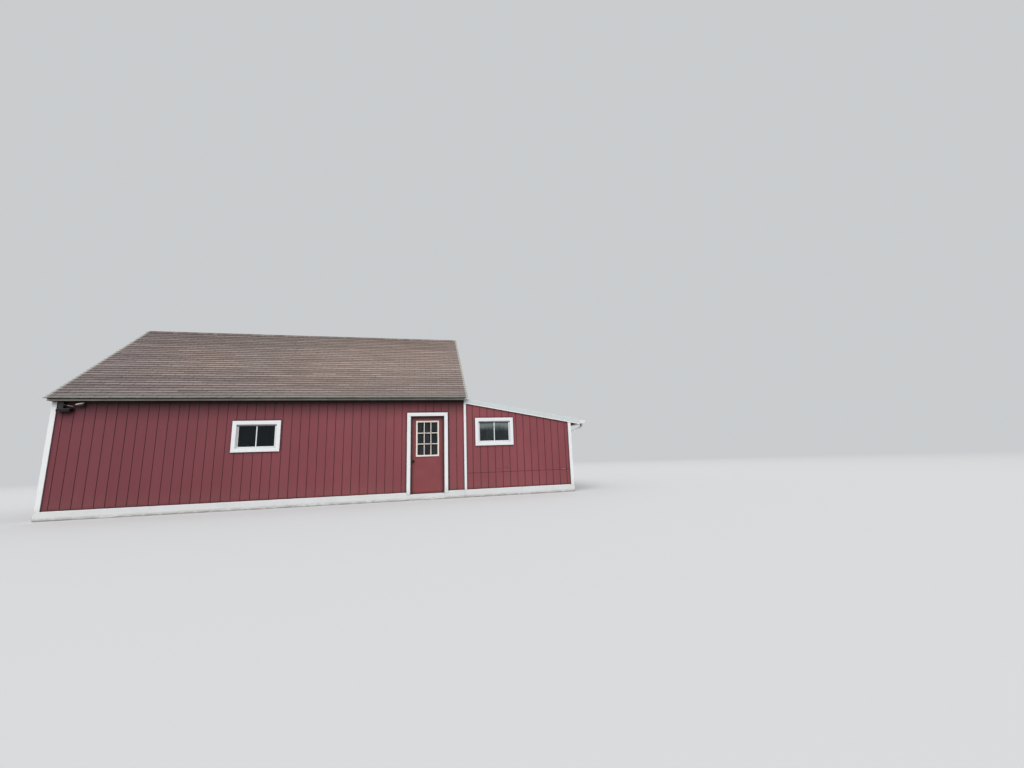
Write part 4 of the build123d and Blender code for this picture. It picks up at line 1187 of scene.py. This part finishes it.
def lamp_holders():
    """Two small tapered lamp holders on a bracket beside the eave lamp's box."""
    low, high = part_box("eave_lamp")
    y = (low.y + front) / 2 - 0.022
    elbow = Vector((high.x + 0.058, y, high.z - 0.125))
    box_side = Vector((low.x + 0.080, y, high.z - 0.075))
    first = Vector((high.x - 0.077, y, high.z - 0.089))
    second = Vector((high.x + 0.073, y, high.z - 0.077))
    tip = Vector((high.x + 0.237, y, high.z - 0.039))
    dark, dull, pale = Form(), Form(), Form()
    dark.turned(box_side, first - box_side, [(0, 0.010), ((first - box_side).length, 0.010)])
    dark.turned(elbow, second - elbow, [(-0.006, 0.013), ((second - elbow).length + 0.006, 0.013)])
    arm = (elbow - first).length
    dull.turned(first, elbow - first, [(0, 0.008), (arm * 0.2, 0.013), (arm * 0.8, 0.011), (arm, 0.006)])
    reach = (tip - second).length
    holder = [(0, 0.007), (reach * 0.15, 0.016), (reach * 0.75, 0.015), (reach, 0.005)]
    # The higher holder, pale as a painted highlight, over a dark cradle
    pale.turned(second, tip - second, holder)
    cradle = [(0, 0.010), (reach * 0.3, 0.024), (reach * 0.7, 0.024), (reach * 0.8, 0.012)]
    dark.turned(second + Vector((0.030, 0.004, -0.026)), tip - second, cradle)
    closed_piece(dark, "lamp_bracket", lamp_paint, "dark_lamp", smooth=True)
    closed_piece(dull, "lamp_holder_low", dull_holder, "dark_lamp", smooth=True)
    closed_piece(pale, "lamp_holder_high", highlight_holder, "dark_lamp", smooth=True)


lite_bars()
drip_edges()
party_flashing()
gutter_hangers()
downspout_straps()
round_knobs()
latch_plates()
lamp_holders()

# Camera, lights and floor


def add_camera():
    """The camera at the photograph's angle: yaw, then pitch, then roll."""
    right = Vector((cos(CAMERA_YAW), -sin(CAMERA_YAW), 0))
    level = Vector((sin(CAMERA_YAW), cos(CAMERA_YAW), 0))
    forward = level * cos(CAMERA_PITCH) + Vector((0, 0, sin(CAMERA_PITCH)))
    above = right.cross(forward)
    rolled_right = right * cos(CAMERA_ROLL) + above * sin(CAMERA_ROLL)
    rolled_above = above * cos(CAMERA_ROLL) - right * sin(CAMERA_ROLL)
    data = bpy.data.cameras.new("camera")
    data.sensor_width = SENSOR_WIDTH
    data.lens = SENSOR_WIDTH * FOCAL_PIXELS / PHOTO_WIDTH
    data.clip_end = 500
    camera = in_scene("camera", data)
    turned = Matrix((rolled_right, rolled_above, -forward)).transposed().to_4x4()
    camera.matrix_world = Matrix.Translation(CAMERA_PLACE) @ turned
    bpy.context.scene.camera = camera


def add_world():
    """A dome that lights the barn, behind an even background for the rays that see it."""
    world = bpy.data.worlds.new("studio")
    bpy.context.scene.world = world
    world.use_nodes = True
    n = Nodes(world.node_tree)
    light = n.tree.nodes["Background"]
    height = n.node("SeparateXYZ", {0: n.node("TexCoord")["Generated"]})["Z"]
    strength = {"Value": height, "To Min": HORIZON_LIGHT, "To Max": ZENITH_LIGHT}
    n.feed(light.inputs["Color"], DOME_LIGHT)
    n.feed(light.inputs["Strength"], n.node("MapRange", strength)["Result"])
    shown = n.node("Background", {"Color": BACKGROUND})[0]
    choice = n.node("MixShader", {0: n.seen(), 1: light.outputs[0], 2: shown})[0]
    n.feed(n.tree.nodes["World Output"].inputs[0], choice)


def add_floor():
    """A pale floor that fades into the background far from the barn."""
    corners = ((-1, -1), (1, -1), (1, 1), (-1, 1))
    form = Form()
    form.add([(x * FLOOR_REACH, y * FLOOR_REACH, 0) for x, y in corners], [[0, 1, 2, 3]])
    plane = in_scene("floor", form.mesh("floor"))
    s = Surface("pale_floor", roughness=0.9, specular=0.1)
    seen = s.seen()
    s.colour = s.mix(seen, FLOOR_BOUNCE, FLOOR)
    s.finish()
    far = s.span(s.vector("LENGTH", s.place)["Value"], *FLOOR_FADE)
    glow = s.node("Emission", {"Color": BACKGROUND})[0]
    choice = s.node("MixShader", {0: s.times(far, seen), 1: s.shader.outputs[0], 2: glow})[0]
    s.feed(s.tree.nodes["Material Output"].inputs[0], choice)
    plane.data.materials.append(s.material)


def add_sun():
    """One wide soft sun from the front."""
    data = bpy.data.lights.new("sky_light", "SUN")
    data.energy = SUN_STRENGTH
    data.angle = SUN_WIDTH
    data.color = SUN_LIGHT
    in_scene("sky_light", data).rotation_euler = (SUN_TILT, 0, SUN_TURN)


add_camera()
add_world()
add_floor()
add_sun()
bpy.context.scene.view_settings.view_transform = "Standard"
